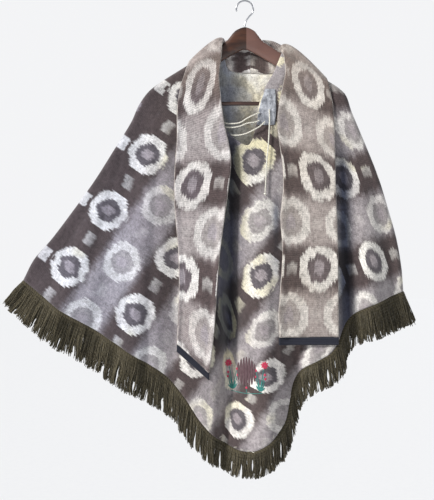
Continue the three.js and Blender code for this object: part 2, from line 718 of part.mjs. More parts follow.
function armsGeometry() {
  const sections = [];
  for (let i = 0; i <= ARM_STATIONS; i++) {
    const share = (2 * i) / ARM_STATIONS - 1;
    const spread = Math.sign(share) * (1 - (1 - Math.abs(share)) ** 1.35);
    sections.push(armSection(ARM_REACH * spread));
  }
  const positions = sections.flat(2);
  const index = [];
  const n = SECTION_POINTS;
  for (let s = 0; s < ARM_STATIONS; s++) {
    for (let i = 0; i < n; i++) {
      const j = (i + 1) % n;
      index.push(s * n + i, s * n + j, (s + 1) * n + j, s * n + i, (s + 1) * n + j, (s + 1) * n + i);
    }
  }
  const far = ARM_STATIONS * n;
  for (let i = 1; i < n - 1; i++) index.push(0, i + 1, i, far, far + i, far + i + 1);
  const geometry = new THREE.BufferGeometry();
  geometry.setAttribute('position', new THREE.Float32BufferAttribute(positions, 3));
  geometry.setIndex(index);
  if (signedVolume(geometry) < 0) geometry.setIndex(index.reverse());
  return geometry;
}
const BAR_SEAT = 207; // where the bores for the bar end
const BORE_RADIUS = BAR_RADIUS + 0.3;
const STEM_BORE = { radius: HOOK_WIRE / 2 + 0.3, foot: -90 };
const barY = sweep(BAR_SEAT);
function rod(radius, length) {
  return new THREE.CylinderGeometry(radius, radius, length, 16).rotateZ(Math.PI / 2);
}
function hangerWood() {
  const barBore = rod(BORE_RADIUS, 2 * BAR_SEAT).translate(0, barY, BAR_HEIGHT);
  const stemBore = new THREE.CylinderGeometry(STEM_BORE.radius, STEM_BORE.radius, 60, 10);
  stemBore.rotateX(Math.PI / 2).translate(0, 0, STEM_BORE.foot + 30);
  return toGeometry(toSolid(armsGeometry()).subtract(toSolid(barBore)).subtract(toSolid(stemBore)));
}
const hangerBar = () => rod(BAR_RADIUS, 2 * (BAR_SEAT - 0.3)).translate(0, barY, BAR_HEIGHT);
// The hook: up out of the wood, over to the right and round to an open end on the left.
function hangerHook() {
  const radius = HOOK_INNER_RADIUS + HOOK_WIRE / 2;
  const points = [[0, 0, STEM_BORE.foot + 0.3], [0, 0, -76], [0, 0, -66], [0, 0, -56], [3, 0, -46]];
  for (let degrees = -55; degrees <= 195; degrees += 25) {
    const angle = (degrees * Math.PI) / 180;
    points.push([radius * Math.cos(angle), 0, -HOOK_INNER_RADIUS + radius * Math.sin(angle)]);
  }
  return roundCord(points, HOOK_WIRE, 32, 8);
}

// Finishes
const finish = (color, roughness, metalness = 0) =>
  new THREE.MeshStandardMaterial({ color, roughness, metalness });
const blanket = finish(0x8d8183, 0.95);
const brushed = finish(0xb9b6b4, 0.98);
const navy = finish(0x2d303e, 0.9);
const olive = finish(0x524e3c, 0.95);
const cotton = finish(0xebe8dc, 0.8);
const wood = finish(0x4b261c, 0.45);
const steel = finish(0xb8bbc0, 0.3, 1);

const garment = new THREE.Group();
function place(name, geometry, material, group = garment) {
  const mesh = new THREE.Mesh(geometry, material.clone());
  mesh.name = name;
  group.add(mesh);
}

// The back's neckline follows the sewn edge of the collar, a seam below it.
function backNeckline() {
  const seams = [COLLAR_LEFT_NECK, COLLAR_RIGHT_NECK].map((rows, right) => {
    const line = collarLine(rows, right ? LAPEL_RIGHT : LAPEL_LEFT);
    return (row) => line(row, 0);
  });
  const last = COLLAR_LEFT_NECK.length - 1;
  return (share) => {
    const turn = (share - 0.5) * 2 * last;
    const [x, , z] = seams[turn < 0 ? 0 : 1](Math.abs(turn));
    const out = [x - NECK_CENTRE.x, z - NECK_CENTRE.z];
    const far = Math.hypot(...out);
    return [x + (out[0] / far) * NECK_SEAM, z + (out[1] / far) * NECK_SEAM];
  };
}

const frontPoints = halfPoints(
  smoothLine(flat(NECK_FRONT)), smoothLine(flat(HEM_FRONT)), -1, FRONT_COLUMNS);
const backPoints = halfPoints(backNeckline(), smoothLine(flat(HEM_BACK)), 1, BACK_COLUMNS);
place('body_front', halfWall(frontPoints, -1), blanket);
place('body_back', halfWall(backPoints, 1), blanket);

const COLLARS = [
  { side: 'left', neck: COLLAR_LEFT_NECK, lapel: LAPEL_LEFT, turn: -1, apart: -SEAM / 2 },
  { side: 'right', neck: COLLAR_RIGHT_NECK, lapel: LAPEL_RIGHT, turn: 1, apart: SEAM / 2 },
];
for (const { side, neck, lapel, turn, apart } of COLLARS) {
  const grid = collarGrid(neck, lapel);
  grid[0] = grid[0].map(([x, y, z]) => [x + apart, y, z]);
  place(`collar_${side}`, collarWall(grid, turn, CLOTH), blanket);
  place(`band_${side}`, sheetWall(bandGrid(lapel), CLOTH), navy);
}
place('placket', sheetWall(placketGrid(), FLAP), brushed);

place('lace_upper', laceGeometry(LACE_UPPER, 14), cotton);
place('lace_middle', laceGeometry(LACE_MIDDLE, 14), cotton);
place('lace_lower', laceGeometry(LACE_LOWER, 14), cotton);
place('lace_end', roundCord(laceEndPoints(), LACE, 26, 8), cotton);
place('lace_knot', knotGeometry(), cotton);

const HEMS = [
  { half: 'front', points: frontPoints, side: -1 },
  { half: 'back', points: backPoints, side: 1 },
];
for (const { half, points, side } of HEMS) {
  const frames = hemFrames(points, side);
  const lowest = frames.reduce((best, f, i) => (f.p[2] < frames[best].p[2] ? i : best), 0);
  const parted = { ...frames[lowest], p: shifted(frames[lowest].p, [1, 0, 0], SEAM) };
  place(`fringe_${half}_left`, fringe(frames.slice(0, lowest + 1)), olive);
  place(`fringe_${half}_right`, fringe([parted, ...frames.slice(lowest + 1)]), olive);
}

const hanger = new THREE.Group();
place('hanger_wood', hangerWood(), wood, hanger);
place('hanger_bar', hangerBar(), wood, hanger);
place('hanger_hook', hangerHook(), steel, hanger);

const root = new THREE.Group();
root.add(garment, hanger);
export default root;
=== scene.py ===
import math

import bpy
import numpy as np
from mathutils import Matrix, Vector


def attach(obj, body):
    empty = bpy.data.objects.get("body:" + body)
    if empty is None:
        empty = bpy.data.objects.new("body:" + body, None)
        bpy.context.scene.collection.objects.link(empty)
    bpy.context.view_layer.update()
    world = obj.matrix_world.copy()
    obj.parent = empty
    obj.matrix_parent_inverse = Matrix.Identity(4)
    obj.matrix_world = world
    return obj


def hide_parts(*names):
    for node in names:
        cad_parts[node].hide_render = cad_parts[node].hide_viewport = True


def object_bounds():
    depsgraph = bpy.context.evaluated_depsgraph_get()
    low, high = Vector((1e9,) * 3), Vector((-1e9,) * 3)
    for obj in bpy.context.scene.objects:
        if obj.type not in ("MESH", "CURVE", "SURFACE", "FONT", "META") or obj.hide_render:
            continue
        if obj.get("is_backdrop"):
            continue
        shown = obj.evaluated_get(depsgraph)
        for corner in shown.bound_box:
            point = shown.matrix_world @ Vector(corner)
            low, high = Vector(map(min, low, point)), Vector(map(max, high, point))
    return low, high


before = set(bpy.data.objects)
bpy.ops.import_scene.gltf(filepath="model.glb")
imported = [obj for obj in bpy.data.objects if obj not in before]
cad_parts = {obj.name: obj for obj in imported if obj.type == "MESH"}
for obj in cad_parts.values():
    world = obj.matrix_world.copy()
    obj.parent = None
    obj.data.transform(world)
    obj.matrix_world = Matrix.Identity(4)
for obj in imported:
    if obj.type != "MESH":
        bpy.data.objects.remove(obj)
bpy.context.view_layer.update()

# A blanket poncho with a long shawl collar and a fringed hem, hung on a wooden hanger.
# Sizes are worked out in millimetres, in the frame of the solids, and put into the meshes in metres.
MM = 0.001
CLOTH = 2.6
FLAP = 3.0
SEAM = 0.4
FOLD_RADIUS = 12.0
ARM_REACH = 215.0
ARM_SWEEP = 18.0
NECK_CENTRE = np.array([16.0, -97.0])
NECK_SEAM = 0.7
LACE = 3.0
LACE_END_OFF_CLOTH = 5.8
LAPEL_LIFT = 2.4
NECK_LIFT = 2.8
BAND_DEPTH = 18.0
HEADER = 9.0  # depth of the fringe's bound heading
YARN_SPACING = 1.3
STITCH_SPACING = 6.2
FRONT, BACK = -1, 1
# The hanger's top at the middle, how it slopes, rounds and rises there, and the same for its underside.
SHOULDER_TOP = -63.8
SHOULDER_SLOPE = 0.68
SHOULDER_ROUND = 14
DOME = 13
DOME_FLAT = 20
DOME_FADE = 27
UNDER_TOP = -107.4
UNDER_SLOPE = 0.61
UNDER_ROUND = 10
LOBE_FOOT = -254
LOBE_START = 178
LOBE_FADE = 16
ARM_HALF_DEPTH = 8
ARM_SQUARENESS = 2.7
TIP_LENGTH = 13
BAR_HALF = 206.7
BAR_EASE = 3.7  # length of the bar's eased end, let into the wood
BAR_RADIUS = 4.7
BAR_HEIGHT = -243.0
HOOK_RADIUS = 20
HOOK_CENTRE = -18
HOOK_FOOT = -89.7  # where the wire leaves the wood
HOOK_WIRE = 4.0

LEFT_FOLD = [(-52, -95.4), (-130, -148.4), (-219, -209), (-248, -246), (-266, -286), (-307, -351),
             (-352, -421), (-403, -491), (-457, -562), (-497, -608), (-522, -656)]
RIGHT_FOLD = [(88, -119.8), (160, -168.8), (232, -218), (250, -263), (283, -340), (314, -415),
              (339, -493), (358, -560), (370, -630), (374, -682)]
NECK_FRONT = [(-52, -95.4), (-62, -140), (-64, -190), (-60, -240), (-52, -290), (-28, -322),
              (8, -341), (25, -297), (32, -250), (44, -212), (66, -172), (88, -119.8)]
HEM_FRONT = [(-522, -656), (-433, -722), (-351, -768), (-269, -820), (-187, -872), (-140, -925),
             (-105, -978), (-70, -1015), (-23, -1043), (12, -1047), (40, -1035), (66, -1015),
             (92, -978), (101, -940), (111, -892), (132, -860), (199, -820), (234, -755),
             (257, -731), (304, -710), (374, -682)]
HEM_BACK = [(-522, -656), (-351, -758), (-200, -858), (-105, -960), (-30, -1026), (12, -1033),
            (60, -1000), (92, -932), (122, -860), (190, -806), (246, -730), (374, -682)]
# Folds of the hanging cloth: x0, z0, x1, z1, half width, depth at the top, depth at the foot.
FRONT_FOLDS = [(-14, -350, -28, -880, 21, 4, 30), (42, -350, 46, -1050, 36, -3, -24),
               (118, -560, 118, -960, 24, 2, 26), (224, -330, 240, -770, 24, 4, 26),
               (268, -330, 306, -720, 34, -3, -17), (-165, -330, -172, -900, 30, 2, 12),
               (-205, -270, -262, -850, 36, -2, -13), (-232, -260, -352, -800, 30, 3, 12),
               (-250, -270, -440, -740, 32, -2, -9)]
BACK_FOLDS = [(-190, -280, -300, -830, 34, 2, 16), (-150, -300, -200, -870, 36, -2, -14),
              (-60, -340, -70, -960, 32, 2, 18), (20, -320, 14, -1040, 38, -2, -16),
              (130, -320, 150, -840, 32, 2, 16), (220, -300, 262, -730, 34, -2, -12)]
SWELL = {FRONT: (15, 44), BACK: (11, 24)}
# Smaller creases that only the dressed cloth has, in the same columns.
CREASES = {
    FRONT: [(-28, -335, -44, -860, 15, 10, 20), (-30, -850, -34, -1020, 23, 0, -20),
            (-300, -330, -452, -660, 7, 0.6, 2.2), (-262, -250, -330, -520, 13, 1.5, 3.5),
            (-196, -240, -214, -560, 12, 1.6, 3.0), (-320, -480, -410, -740, 15, 0.5, 3.6),
            (-246, -520, -292, -800, 13, 0.5, 4.2), (-208, -640, -226, -850, 12, 0.3, 3.6),
            (74, -820, 80, -1000, 12, 0.4, 5.0), (12, -700, 6, -1040, 13, 0.3, 4.6),
            (246, -300, 262, -600, 9, 0.8, 3.2), (322, -420, 352, -690, 12, 0.6, 4.2),
            (290, -330, 330, -640, 10, 0.6, 2.6), (-112, -900, -118, -990, 11, 0.3, 4.0),
            (170, -700, 178, -830, 13, 0.3, 4.4), (60, -420, 66, -760, 8, 0.4, 2.2)],
    BACK: [(-240, -260, -400, -720, 15, 0.8, 4.6), (-90, -380, -120, -880, 14, 0.6, 4.4),
           (60, -330, 70, -900, 14, 0.6, 4.6), (180, -330, 210, -740, 13, 0.6, 4.2),
           (290, -330, 330, -650, 13, 0.6, 4.0), (-330, -480, -440, -680, 12, 0.5, 3.4),
           (-20, -420, -30, -980, 12, 0.5, 3.6)],
}
# Troughs that get painted shade, darker and bluer, in the same columns, with shares of that shade for
# depths.
PAINTED_SHADE_TROUGHS = [(-32, -290, -48, -830, 31, 1.0, 1.15), (228, -360, 236, -810, 20, 1.0, 1.15),
           (-168, -300, -170, -800, 9, 0.15, 0.35), (72, -470, 70, -760, 11, 0.9, 0.1)]
# Sections of the collar at the neck: sewn edge, two points that pull the roll up, free edge.
COLLAR_LEFT_NECK = [
    [(14, 19, -166), (14, 12, -60), (14, 50, -48), (14, 36, -212)],
    [(-22, 17, -163), (-24, 12, -60), (-38, 48, -48), (-60, 36, -210)],
    [(-42, 13, -150), (-45, 12, -68), (-68, 40, -66), (-112, 30, -192)],
    [(-51.3, 0, -94.8), (-46, 0, -80), (-82, -2, -90), (-126, -6, -141)],
]
COLLAR_RIGHT_NECK = [
    [(14, 19, -166), (14, 12, -60), (14, 50, -48), (14, 36, -212)],
    [(55, 17, -168), (54, 12, -62), (68, 48, -50), (90, 36, -212)],
    [(80, 14, -160), (80, 12, -82), (106, 40, -78), (152, 30, -206)],
    [(87.3, 0, -118.2), (82, 0, -84), (138, -2, -120), (186, -13, -181)],
]
# Lapels: x and z of the inner edge, then of the outer edge.
LAPEL_LEFT = [(-56, -134, -146, -190), (-61, -176, -155, -232), (-58, -223, -158, -272),
              (-49, -293, -158, -328), (-34, -370, -162, -385), (-40, -446, -164, -455),
              (-50, -520, -160, -522), (-60, -600, -154, -590), (-67, -690, -152, -665),
              (-73, -780, -154, -735), (-84, -866, -157, -801)]
LAPEL_RIGHT = [(95, -164, 201, -232), (89, -202, 205, -268), (79, -250, 207, -308),
               (76, -305, 208, -352), (86, -380, 209, -412), (89, -440, 210, -462),
               (82, -510, 212, -520), (86, -586, 213, -590), (81, -668, 213, -668),
               (76, -726, 213, -728), (77, -785, 213, -785)]
PLACKET_ROWS = [(-210, 48, 70), (-238, 38, 72), (-266, 31, 72), (-294, 28, 69)]  # z, x from, x to
LACE_UPPER = [(34, -32.7, -266), (22, -34.5, -271), (5, -33, -279), (-12, -30.5, -289),
              (-36, -26, -291), (-52, -22.5, -287), (-66, -22, -281)]
LACE_MIDDLE = [(33, -34, -284), (24, -34.8, -288), (5, -33, -291), (-14, -30, -298),
               (-34, -26, -300), (-52, -22.5, -296), (-64, -22, -291)]
LACE_LOWER = [(46, -34.5, -287), (36, -36, -297), (23, -36.4, -305), (4, -33, -314),
              (-14, -28, -318), (-32, -23, -317), (-48, -22, -311)]
LACE_END = [(56, -258), (57, -280), (56, -305), (54, -340), (50, -380), (48, -420), (46, -452)]
LEAN = [(-522, -0.9), (-470, -0.5), (-380, -0.28), (-200, -0.12), (-60, -0.05), (60, 0.05),
        (110, 0.16), (250, 0.1), (374, 0.3)]
REACH = [(-522, 62), (-433, 70), (-269, 74), (-140, 66), (-70, 54), (40, 50), (110, 56),
         (220, 60), (300, 66), (374, 70)]


# Curves and the form of the hanging cloth

def soft(v):
    """Smooth step: 3t squared less 2t cubed, with t held from 0 to 1."""
    t = np.clip(v, 0, 1)
    return t * t * (3 - 2 * t)


def mix(a, b, t):
    """Straight line from a to b by a share t."""
    return a + (b - a) * t


def table(rows, x):
    """Straight lines between the rows of a two-column table."""
    rows = np.array(rows, float)
    return np.interp(x, rows[:, 0], rows[:, 1])


def unit(v):
    """The same directions with a length of one."""
    return v / np.maximum(np.linalg.norm(v, axis=-1, keepdims=True), 1e-12)


def smooth_line(points, stops=None):
    """Hermite cubics through points, sloped along the chord between each point's neighbours.
    Returns a function of the share of the chord length, for whole arrays of shares."""
    p = np.array(points, float)
    last = len(p) - 1
    if stops is None:
        stops = np.concatenate([[0], np.cumsum(np.linalg.norm(np.diff(p, axis=0), axis=1))])
    before, after = np.maximum(np.arange(last + 1) - 1, 0), np.minimum(np.arange(last + 1) + 1, last)
    slopes = (p[after] - p[before]) / (stops[after] - stops[before])[:, None]

    def at(share):
        place = np.asarray(share, float) * stops[-1]
        i = np.clip(np.searchsorted(stops, place, side="left") - 1, 0, last - 1)
        h = (stops[i + 1] - stops[i])[..., None]
        t = (place - stops[i])[..., None] / h
        return ((2 * t**3 - 3 * t**2 + 1) * p[i] + (t**3 - 2 * t**2 + t) * h * slopes[i]
                + (3 * t**2 - 2 * t**3) * p[i + 1] + (t**3 - t**2) * h * slopes[i + 1])

    return at


left_fold, right_fold = smooth_line(LEFT_FOLD), smooth_line(RIGHT_FOLD)


def fold_pieces(line, inward_x, count=60):
    """Start, direction, inward normal and length of the straight pieces of a folded side."""
    corners = line(np.linspace(0, 1, count + 1))
    chord = np.diff(corners, axis=0)
    length = np.linalg.norm(chord, axis=1)
    along = chord / length[:, None]
    inward = np.stack([-along[:, 1], along[:, 0]], axis=1) * inward_x
    return corners[:-1], along, inward, length


FOLDS = [np.concatenate(pair) for pair in zip(fold_pieces(left_fold, 1), fold_pieces(right_fold, -1))]


def fold_depth(x, z):
    """Depth inside the nearest piece of the two folded sides, and the direction inwards."""
    start, along, inward, length = FOLDS
    x, z = np.broadcast_arrays(np.asarray(x, float), np.asarray(z, float))
    dx = x.ravel()[:, None] - start[:, 0]
    dz = z.ravel()[:, None] - start[:, 1]
    run = np.clip(dx * along[:, 0] + dz * along[:, 1], 0, length)
    far = np.hypot(dx - run * along[:, 0], dz - run * along[:, 1])
    best = np.argmin(np.round(far, 8), axis=1)
    row = np.arange(len(best))
    depth = dx[row, best] * inward[best, 0] + dz[row, best] * inward[best, 1]
    return depth.reshape(x.shape), inward[best].reshape(x.shape + (2,))


def middle(x, z):
    """Forward sweep of the garment's middle with the hanger's arms, fading below them."""
    sweep = -ARM_SWEEP * np.minimum(1, (x / ARM_REACH) ** 2)
    return sweep * (1 - soft((-z - 260) / 300))


def fold_height(folds, x, z, ridges_only=False):
    """Sum of the folds: a depth that swells from top to foot, times a bell curve across it.
    Ridges only leaves the troughs out, for what lies on the cloth and bridges them."""
    total = 0.0
    for x0, z0, x1, z1, half, top, foot in folds:
        if ridges_only and foot > 0:
            continue
        t = (z0 - z) / (z0 - z1)
        across = (x - mix(x0, x1, t)) / half
        total = total + mix(top, foot, soft(t)) * soft((t + 0.12) / 0.24) * np.exp(-across * across)
    return total


def face_y(x, z, side, ridges_only=False):
    """Outer face of a half: a quarter round at the folded sides, then a swell less the folds."""
    depth, _ = fold_depth(x, z)
    inside = np.clip(depth / FOLD_RADIUS, 0, 1)
    edge = FOLD_RADIUS * np.sqrt(np.maximum(0, 1 - (1 - inside) ** 2))
    shoulder, hem = SWELL[side]
    full = shoulder + hem * soft((-z - 250) / 700)
    folds = FRONT_FOLDS if side == FRONT else BACK_FOLDS
    pleat = fold_height(folds, x, z, ridges_only) * soft(depth / 50)
    return middle(x, z) + side * (edge + full * soft(depth / 160) - pleat)


def clear_of_body(x, y, z, lift):
    """Moves a point of the collar out until it is a lift off the cloth below it."""
    depth, _ = fold_depth(x, z)
    ridge = middle(x, z)
    front = y < ridge
    reach = (FOLD_RADIUS + lift) ** 2 - (FOLD_RADIUS - depth) ** 2
    at_edge = ridge + np.where(front, -1, 1) * np.sqrt(np.maximum(reach, 0))
    on_face = np.where(front, face_y(x, z, FRONT, True) - lift, face_y(x, z, BACK, True) + lift)
    limit = np.where(depth < FOLD_RADIUS, at_edge, on_face)
    held = np.where(front, np.minimum(y, limit), np.maximum(y, limit))
    return np.where((depth < FOLD_RADIUS) & (reach <= 0), y, held)


# Meshes from arrays

def tiles(rows, columns, wrap=False):
    """Quads between the rows and columns of a grid of points."""
    r = np.arange(rows - 1)[:, None]
    c = np.arange(columns if wrap else columns - 1)[None, :]
    right = (c + 1) % columns
    quads = np.stack([r * columns + c, (r + 1) * columns + c,
                      (r + 1) * columns + right, r * columns + right], axis=-1)
    return quads.reshape(-1, 4)


def outward(points, quads):
    """The same quads, turned over if the closed surface that they make is inside out."""
    a, b, c, d = (points[quads[:, i]] for i in range(4))
    volume = np.einsum("ij,ij->", a, np.cross(b, c)) + np.einsum("ij,ij->", a, np.cross(c, d))
    return quads[:, ::-1] if volume < 0 else quads


def wall(outer, inner, bulge=0.3):
    """Closed shell between two equal grids, with a rim that stands out by a share of its thickness.
    Gives points, quads, the grid point behind each point, and 0, 1 or 2 for the outer, inner and
    rim faces."""
    rows, columns = outer.shape[:2]
    half = rows * columns
    ids = np.arange(half).reshape(rows, columns)
    rim = np.concatenate([ids[0, :-1], ids[:-1, -1], ids[-1, :0:-1], ids[:0:-1, 0]])
    near_r = np.clip(rim // columns, 1, rows - 2)
    near_c = np.clip(rim % columns, 1, columns - 2)
    o, i = outer.reshape(-1, 3), inner.reshape(-1, 3)
    away = unit((o + i)[rim] - (o + i)[near_r * columns + near_c])
    thick = np.linalg.norm(o[rim] - i[rim], axis=1, keepdims=True)
    ring = (o[rim] + i[rim]) / 2 + away * thick * bulge
    points = np.concatenate([o, i, ring])
    face = tiles(rows, columns)
    k = np.arange(len(rim))
    following = np.roll(rim, -1)
    r0, r1 = 2 * half + k, 2 * half + np.roll(k, -1)
    quads = np.concatenate([
        face, half + face[:, ::-1],
        np.stack([rim, following, r1, r0], axis=1),
        np.stack([r0, r1, half + following, half + rim], axis=1),
    ])
    source = np.concatenate([np.arange(half), np.arange(half), rim])
    part = np.concatenate([np.zeros(len(face)), np.ones(len(face)), np.full(2 * len(rim), 2)]).astype(int)
    return points, outward(points, quads), source, part


def closed_rows(rings):
    """Closed tube: rings of points, shut by the middle point of the first and of the last."""
    rows, columns = rings.shape[:2]
    points = np.concatenate([rings.reshape(-1, 3), [rings[0].mean(axis=0)], [rings[-1].mean(axis=0)]])
    quads = tiles(rows, columns, wrap=True)
    c = np.arange(columns)
    nxt = (c + 1) % columns
    first, last = rows * columns, rows * columns + 1
    base = (rows - 1) * columns
    caps = np.concatenate([np.stack([np.full(columns, first), c, nxt, nxt], axis=1),
                           np.stack([np.full(columns, last), base + nxt, base + c, base + c], axis=1)])
    quads = np.concatenate([quads, caps])
    return points, outward(points, quads)


def frames_along(path):
    """Two directions square to a path at each point, turned as little as possible along it."""
    ahead = unit(np.gradient(path, axis=0))
    side = np.zeros_like(path)
    guess = np.array([0.0, 1.0, 0.0]) if abs(ahead[0, 1]) < 0.8 else np.array([1.0, 0.0, 0.0])
    for i in range(len(path)):
        guess = unit(guess - ahead[i] * np.dot(guess, ahead[i]))
        side[i] = guess
    return side, np.cross(ahead, side)


def tube(path, radius, sides=12, twist=0.0, ripple=0.0, strands=3):
    """Round cord: a circle carried along a path, its radius rippled by strands that twist round it."""
    a, b = frames_along(path)
    turn = np.linspace(0, 2 * np.pi, sides, endpoint=False)[None, :]
    run = np.concatenate([[0], np.cumsum(np.linalg.norm(np.diff(path, axis=0), axis=1))])[:, None]
    r = np.broadcast_to(np.asarray(radius, float).reshape(-1, 1), (len(path), 1))
    r = r * (1 + ripple * np.cos(strands * (turn - twist * run)))
    over = (r * np.cos(turn))[..., None] * a[:, None, :]
    beside = (r * np.sin(turn))[..., None] * b[:, None, :]
    return closed_rows(path[:, None, :] + over + beside)


def join(parts):
    """One pair of points and quads from several."""
    points, quads, base = [], [], 0
    for p, q in parts:
        points.append(p)
        quads.append(q + base)
        base += len(p)
    return np.concatenate(points), np.concatenate(quads)


def make(name, points, quads, materials, slot, nodes=(), uv=None, part=None, **values):
    """Puts arrays into a mesh object at the origin, riding with the hanger, in place of its solids.
    Any further named array becomes an attribute of its points."""
    mesh = bpy.data.meshes.new(name)
    triangle = quads[:, 2] == quads[:, 3]
    counts = np.where(triangle, 3, 4)
    corner = np.ones(quads.shape, bool)
    corner[:, 3] = ~triangle
    loops = quads[corner]
    mesh.vertices.add(len(points))
    mesh.vertices.foreach_set("co", (points * MM).astype(np.float32).ravel())
    mesh.loops.add(len(loops))
    mesh.loops.foreach_set("vertex_index", loops.astype(np.int32))
    mesh.polygons.add(len(quads))
    first = np.concatenate([[0], np.cumsum(counts)[:-1]])
    mesh.polygons.foreach_set("loop_start", first.astype(np.int32))
    mesh.update(calc_edges=True)
    mesh.polygons.foreach_set("use_smooth", np.ones(len(quads), bool))
    if uv is not None:
        layer = mesh.uv_layers.new(name="weave")
        layer.data.foreach_set("uv", uv[loops].astype(np.float32).ravel())
    for title, value in values.items():
        mesh.attributes.new(title, "FLOAT", "POINT").data.foreach_set("value", value.astype(np.float32))
    for material in materials:
        mesh.materials.append(material)
    if part is not None:
        mesh.polygons.foreach_set("material_index", part.astype(np.int32))
    mesh.validate()
    piece = bpy.data.objects.new(name, mesh)
    bpy.context.scene.collection.objects.link(piece)
    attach(piece, "root")
    if nodes:
        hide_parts(*nodes)
    return piece


# Materials

def srgb(r, g, b, a=1.0):
    """Screen colour from 0 to 255 as linear light."""
    def linear(v):
        v /= 255
        return v / 12.92 if v <= 0.04045 else ((v + 0.055) / 1.055) ** 2.4
    return (linear(r), linear(g), linear(b), a)


class Graph:
    """Short calls that place shader nodes in one tree and link them. Any input may be a number."""

    def __init__(self, tree):
        self.tree = tree

    def node(self, kind, inputs=None, **settings):
        """A node with its settings, and its inputs by name or number."""
        made = self.tree.nodes.new(kind)
        for name, value in settings.items():
            setattr(made, name, value)
        for name, value in (inputs or {}).items():
            self.feed(made.inputs[name], value)
        return made

    def feed(self, socket, value):
        """Links another node's output to a socket, or sets the socket's own value."""
        if isinstance(value, bpy.types.NodeSocket):
            self.tree.links.new(value, socket)
        elif value is not None:
            socket.default_value = value

    def math(self, operation, a, b=None, c=None):
        """One step of arithmetic."""
        return self.node("ShaderNodeMath", {0: a, 1: b, 2: c}, operation=operation).outputs[0]

    def times(self, a, b):
        """Product of two values."""
        return self.math("MULTIPLY", a, b)

    def plus(self, a, b):
        """Sum of two values."""
        return self.math("ADD", a, b)

    def less(self, a, b):
        """First value less the second."""
        return self.math("SUBTRACT", a, b)

    def step(self, value, low, high, to_low=0.0, to_high=1.0):
        """Smooth step from one level to another between two values."""
        made = self.node("ShaderNodeMapRange", {0: value, 1: low, 2: high, 3: to_low, 4: to_high},
                         interpolation_type="SMOOTHSTEP")
        return made.outputs[0]

    def scale(self, value, low, high, to_low=0.0, to_high=1.0):
        """Straight line from one level to another between two values."""
        made = self.node("ShaderNodeMapRange", {0: value, 1: low, 2: high, 3: to_low, 4: to_high})
        return made.outputs[0]

    def blend(self, factor, a, b, kind="MIX"):
        """Colour a with a share of colour b over it."""
        made = self.node("ShaderNodeMix", data_type="RGBA", blend_type=kind)
        self.feed(made.inputs[0], factor)
        self.feed(made.inputs[6], a)
        self.feed(made.inputs[7], b)
        return made.outputs[2]

    def shaded(self, colour, shade):
        """Colour times a shade."""
        return self.blend(1.0, colour, self.vector(shade, shade, shade), "MULTIPLY")

    def axes(self, vector):
        """The three values of a vector."""
        return self.node("ShaderNodeSeparateXYZ", {0: vector}).outputs

    def attribute(self, name):
        """A value that the mesh carries at its points."""
        return self.node("ShaderNodeAttribute", attribute_name=name).outputs["Fac"]

    def weave(self):
        """The piece's own map, which follows its cloth or yarn."""
        return self.node("ShaderNodeUVMap", uv_map="weave").outputs[0]

    def vector(self, x, y, z=0.0):
        """Three values as one."""
        return self.node("ShaderNodeCombineXYZ", {0: x, 1: y, 2: z}).outputs[0]

    def noise(self, vector, scale, detail=2.0, rough=0.5):
        """Noise from 0 to 1."""
        made = self.node("ShaderNodeTexNoise", {"Scale": scale, "Detail": detail, "Roughness": rough},
                         noise_dimensions="3D")
        self.feed(made.inputs["Vector"], vector)
        return made.outputs["Fac"]

    def stairs(self, value, stops):
        """Colour that holds from each stop to the next."""
        made = self.node("ShaderNodeValToRGB", {0: value})
        bar = made.color_ramp
        bar.interpolation = "CONSTANT"
        while len(bar.elements) < len(stops):
            bar.elements.new(0.5)
        for element, (place, colour) in zip(bar.elements, stops):
            element.position = place
            element.color = colour
        return made.outputs[0]


def new_group(name, inputs, outputs):
    """Node group with named sockets: each input is a name, kind and default."""
    group = bpy.data.node_groups.new(name, "ShaderNodeTree")
    for title, kind, default in inputs:
        socket = group.interface.new_socket(name=title, in_out="INPUT", socket_type=kind)
        if default is not None:
            socket.default_value = default
    for title, kind in outputs:
        group.interface.new_socket(name=title, in_out="OUTPUT", socket_type=kind)
    graph = Graph(group)
    return group, graph, graph.node("NodeGroupInput"), graph.node("NodeGroupOutput")


def use_group(graph, group, inputs):
    """A node group placed in a material, with its inputs by name."""
    made = graph.node("ShaderNodeGroup", node_tree=group)
    for name, value in inputs.items():
        graph.feed(made.inputs[name], value)
    return made


def new_material(name):
    """Material with its graph, its shader and the object coordinates."""
    material = bpy.data.materials.new(name)
    material.use_nodes = True
    tree = material.node_tree
    tree.nodes.clear()
    graph = Graph(tree)
    output = graph.node("ShaderNodeOutputMaterial")
    shader = graph.node("ShaderNodeBsdfPrincipled")
    graph.feed(output.inputs["Surface"], shader.outputs[0])
    return material, graph, shader, graph.node("ShaderNodeTexCoord").outputs["Object"]


def bump(graph, shader, height, strength, distance):
    """Relief on a shader from a height."""
    made = graph.node("ShaderNodeBump", {"Height": height, "Strength": strength, "Distance": distance})
    graph.feed(shader.inputs["Normal"], made.outputs[0])


def wool_sheen(shader, weight, colour, rough=0.5):
    """Soft bloom of loose fibres, and hardly any gloss."""
    shader.inputs["Sheen Weight"].default_value = weight
    shader.inputs["Sheen Roughness"].default_value = rough
    shader.inputs["Sheen Tint"].default_value = colour
    shader.inputs["Specular IOR Level"].default_value = 0.15


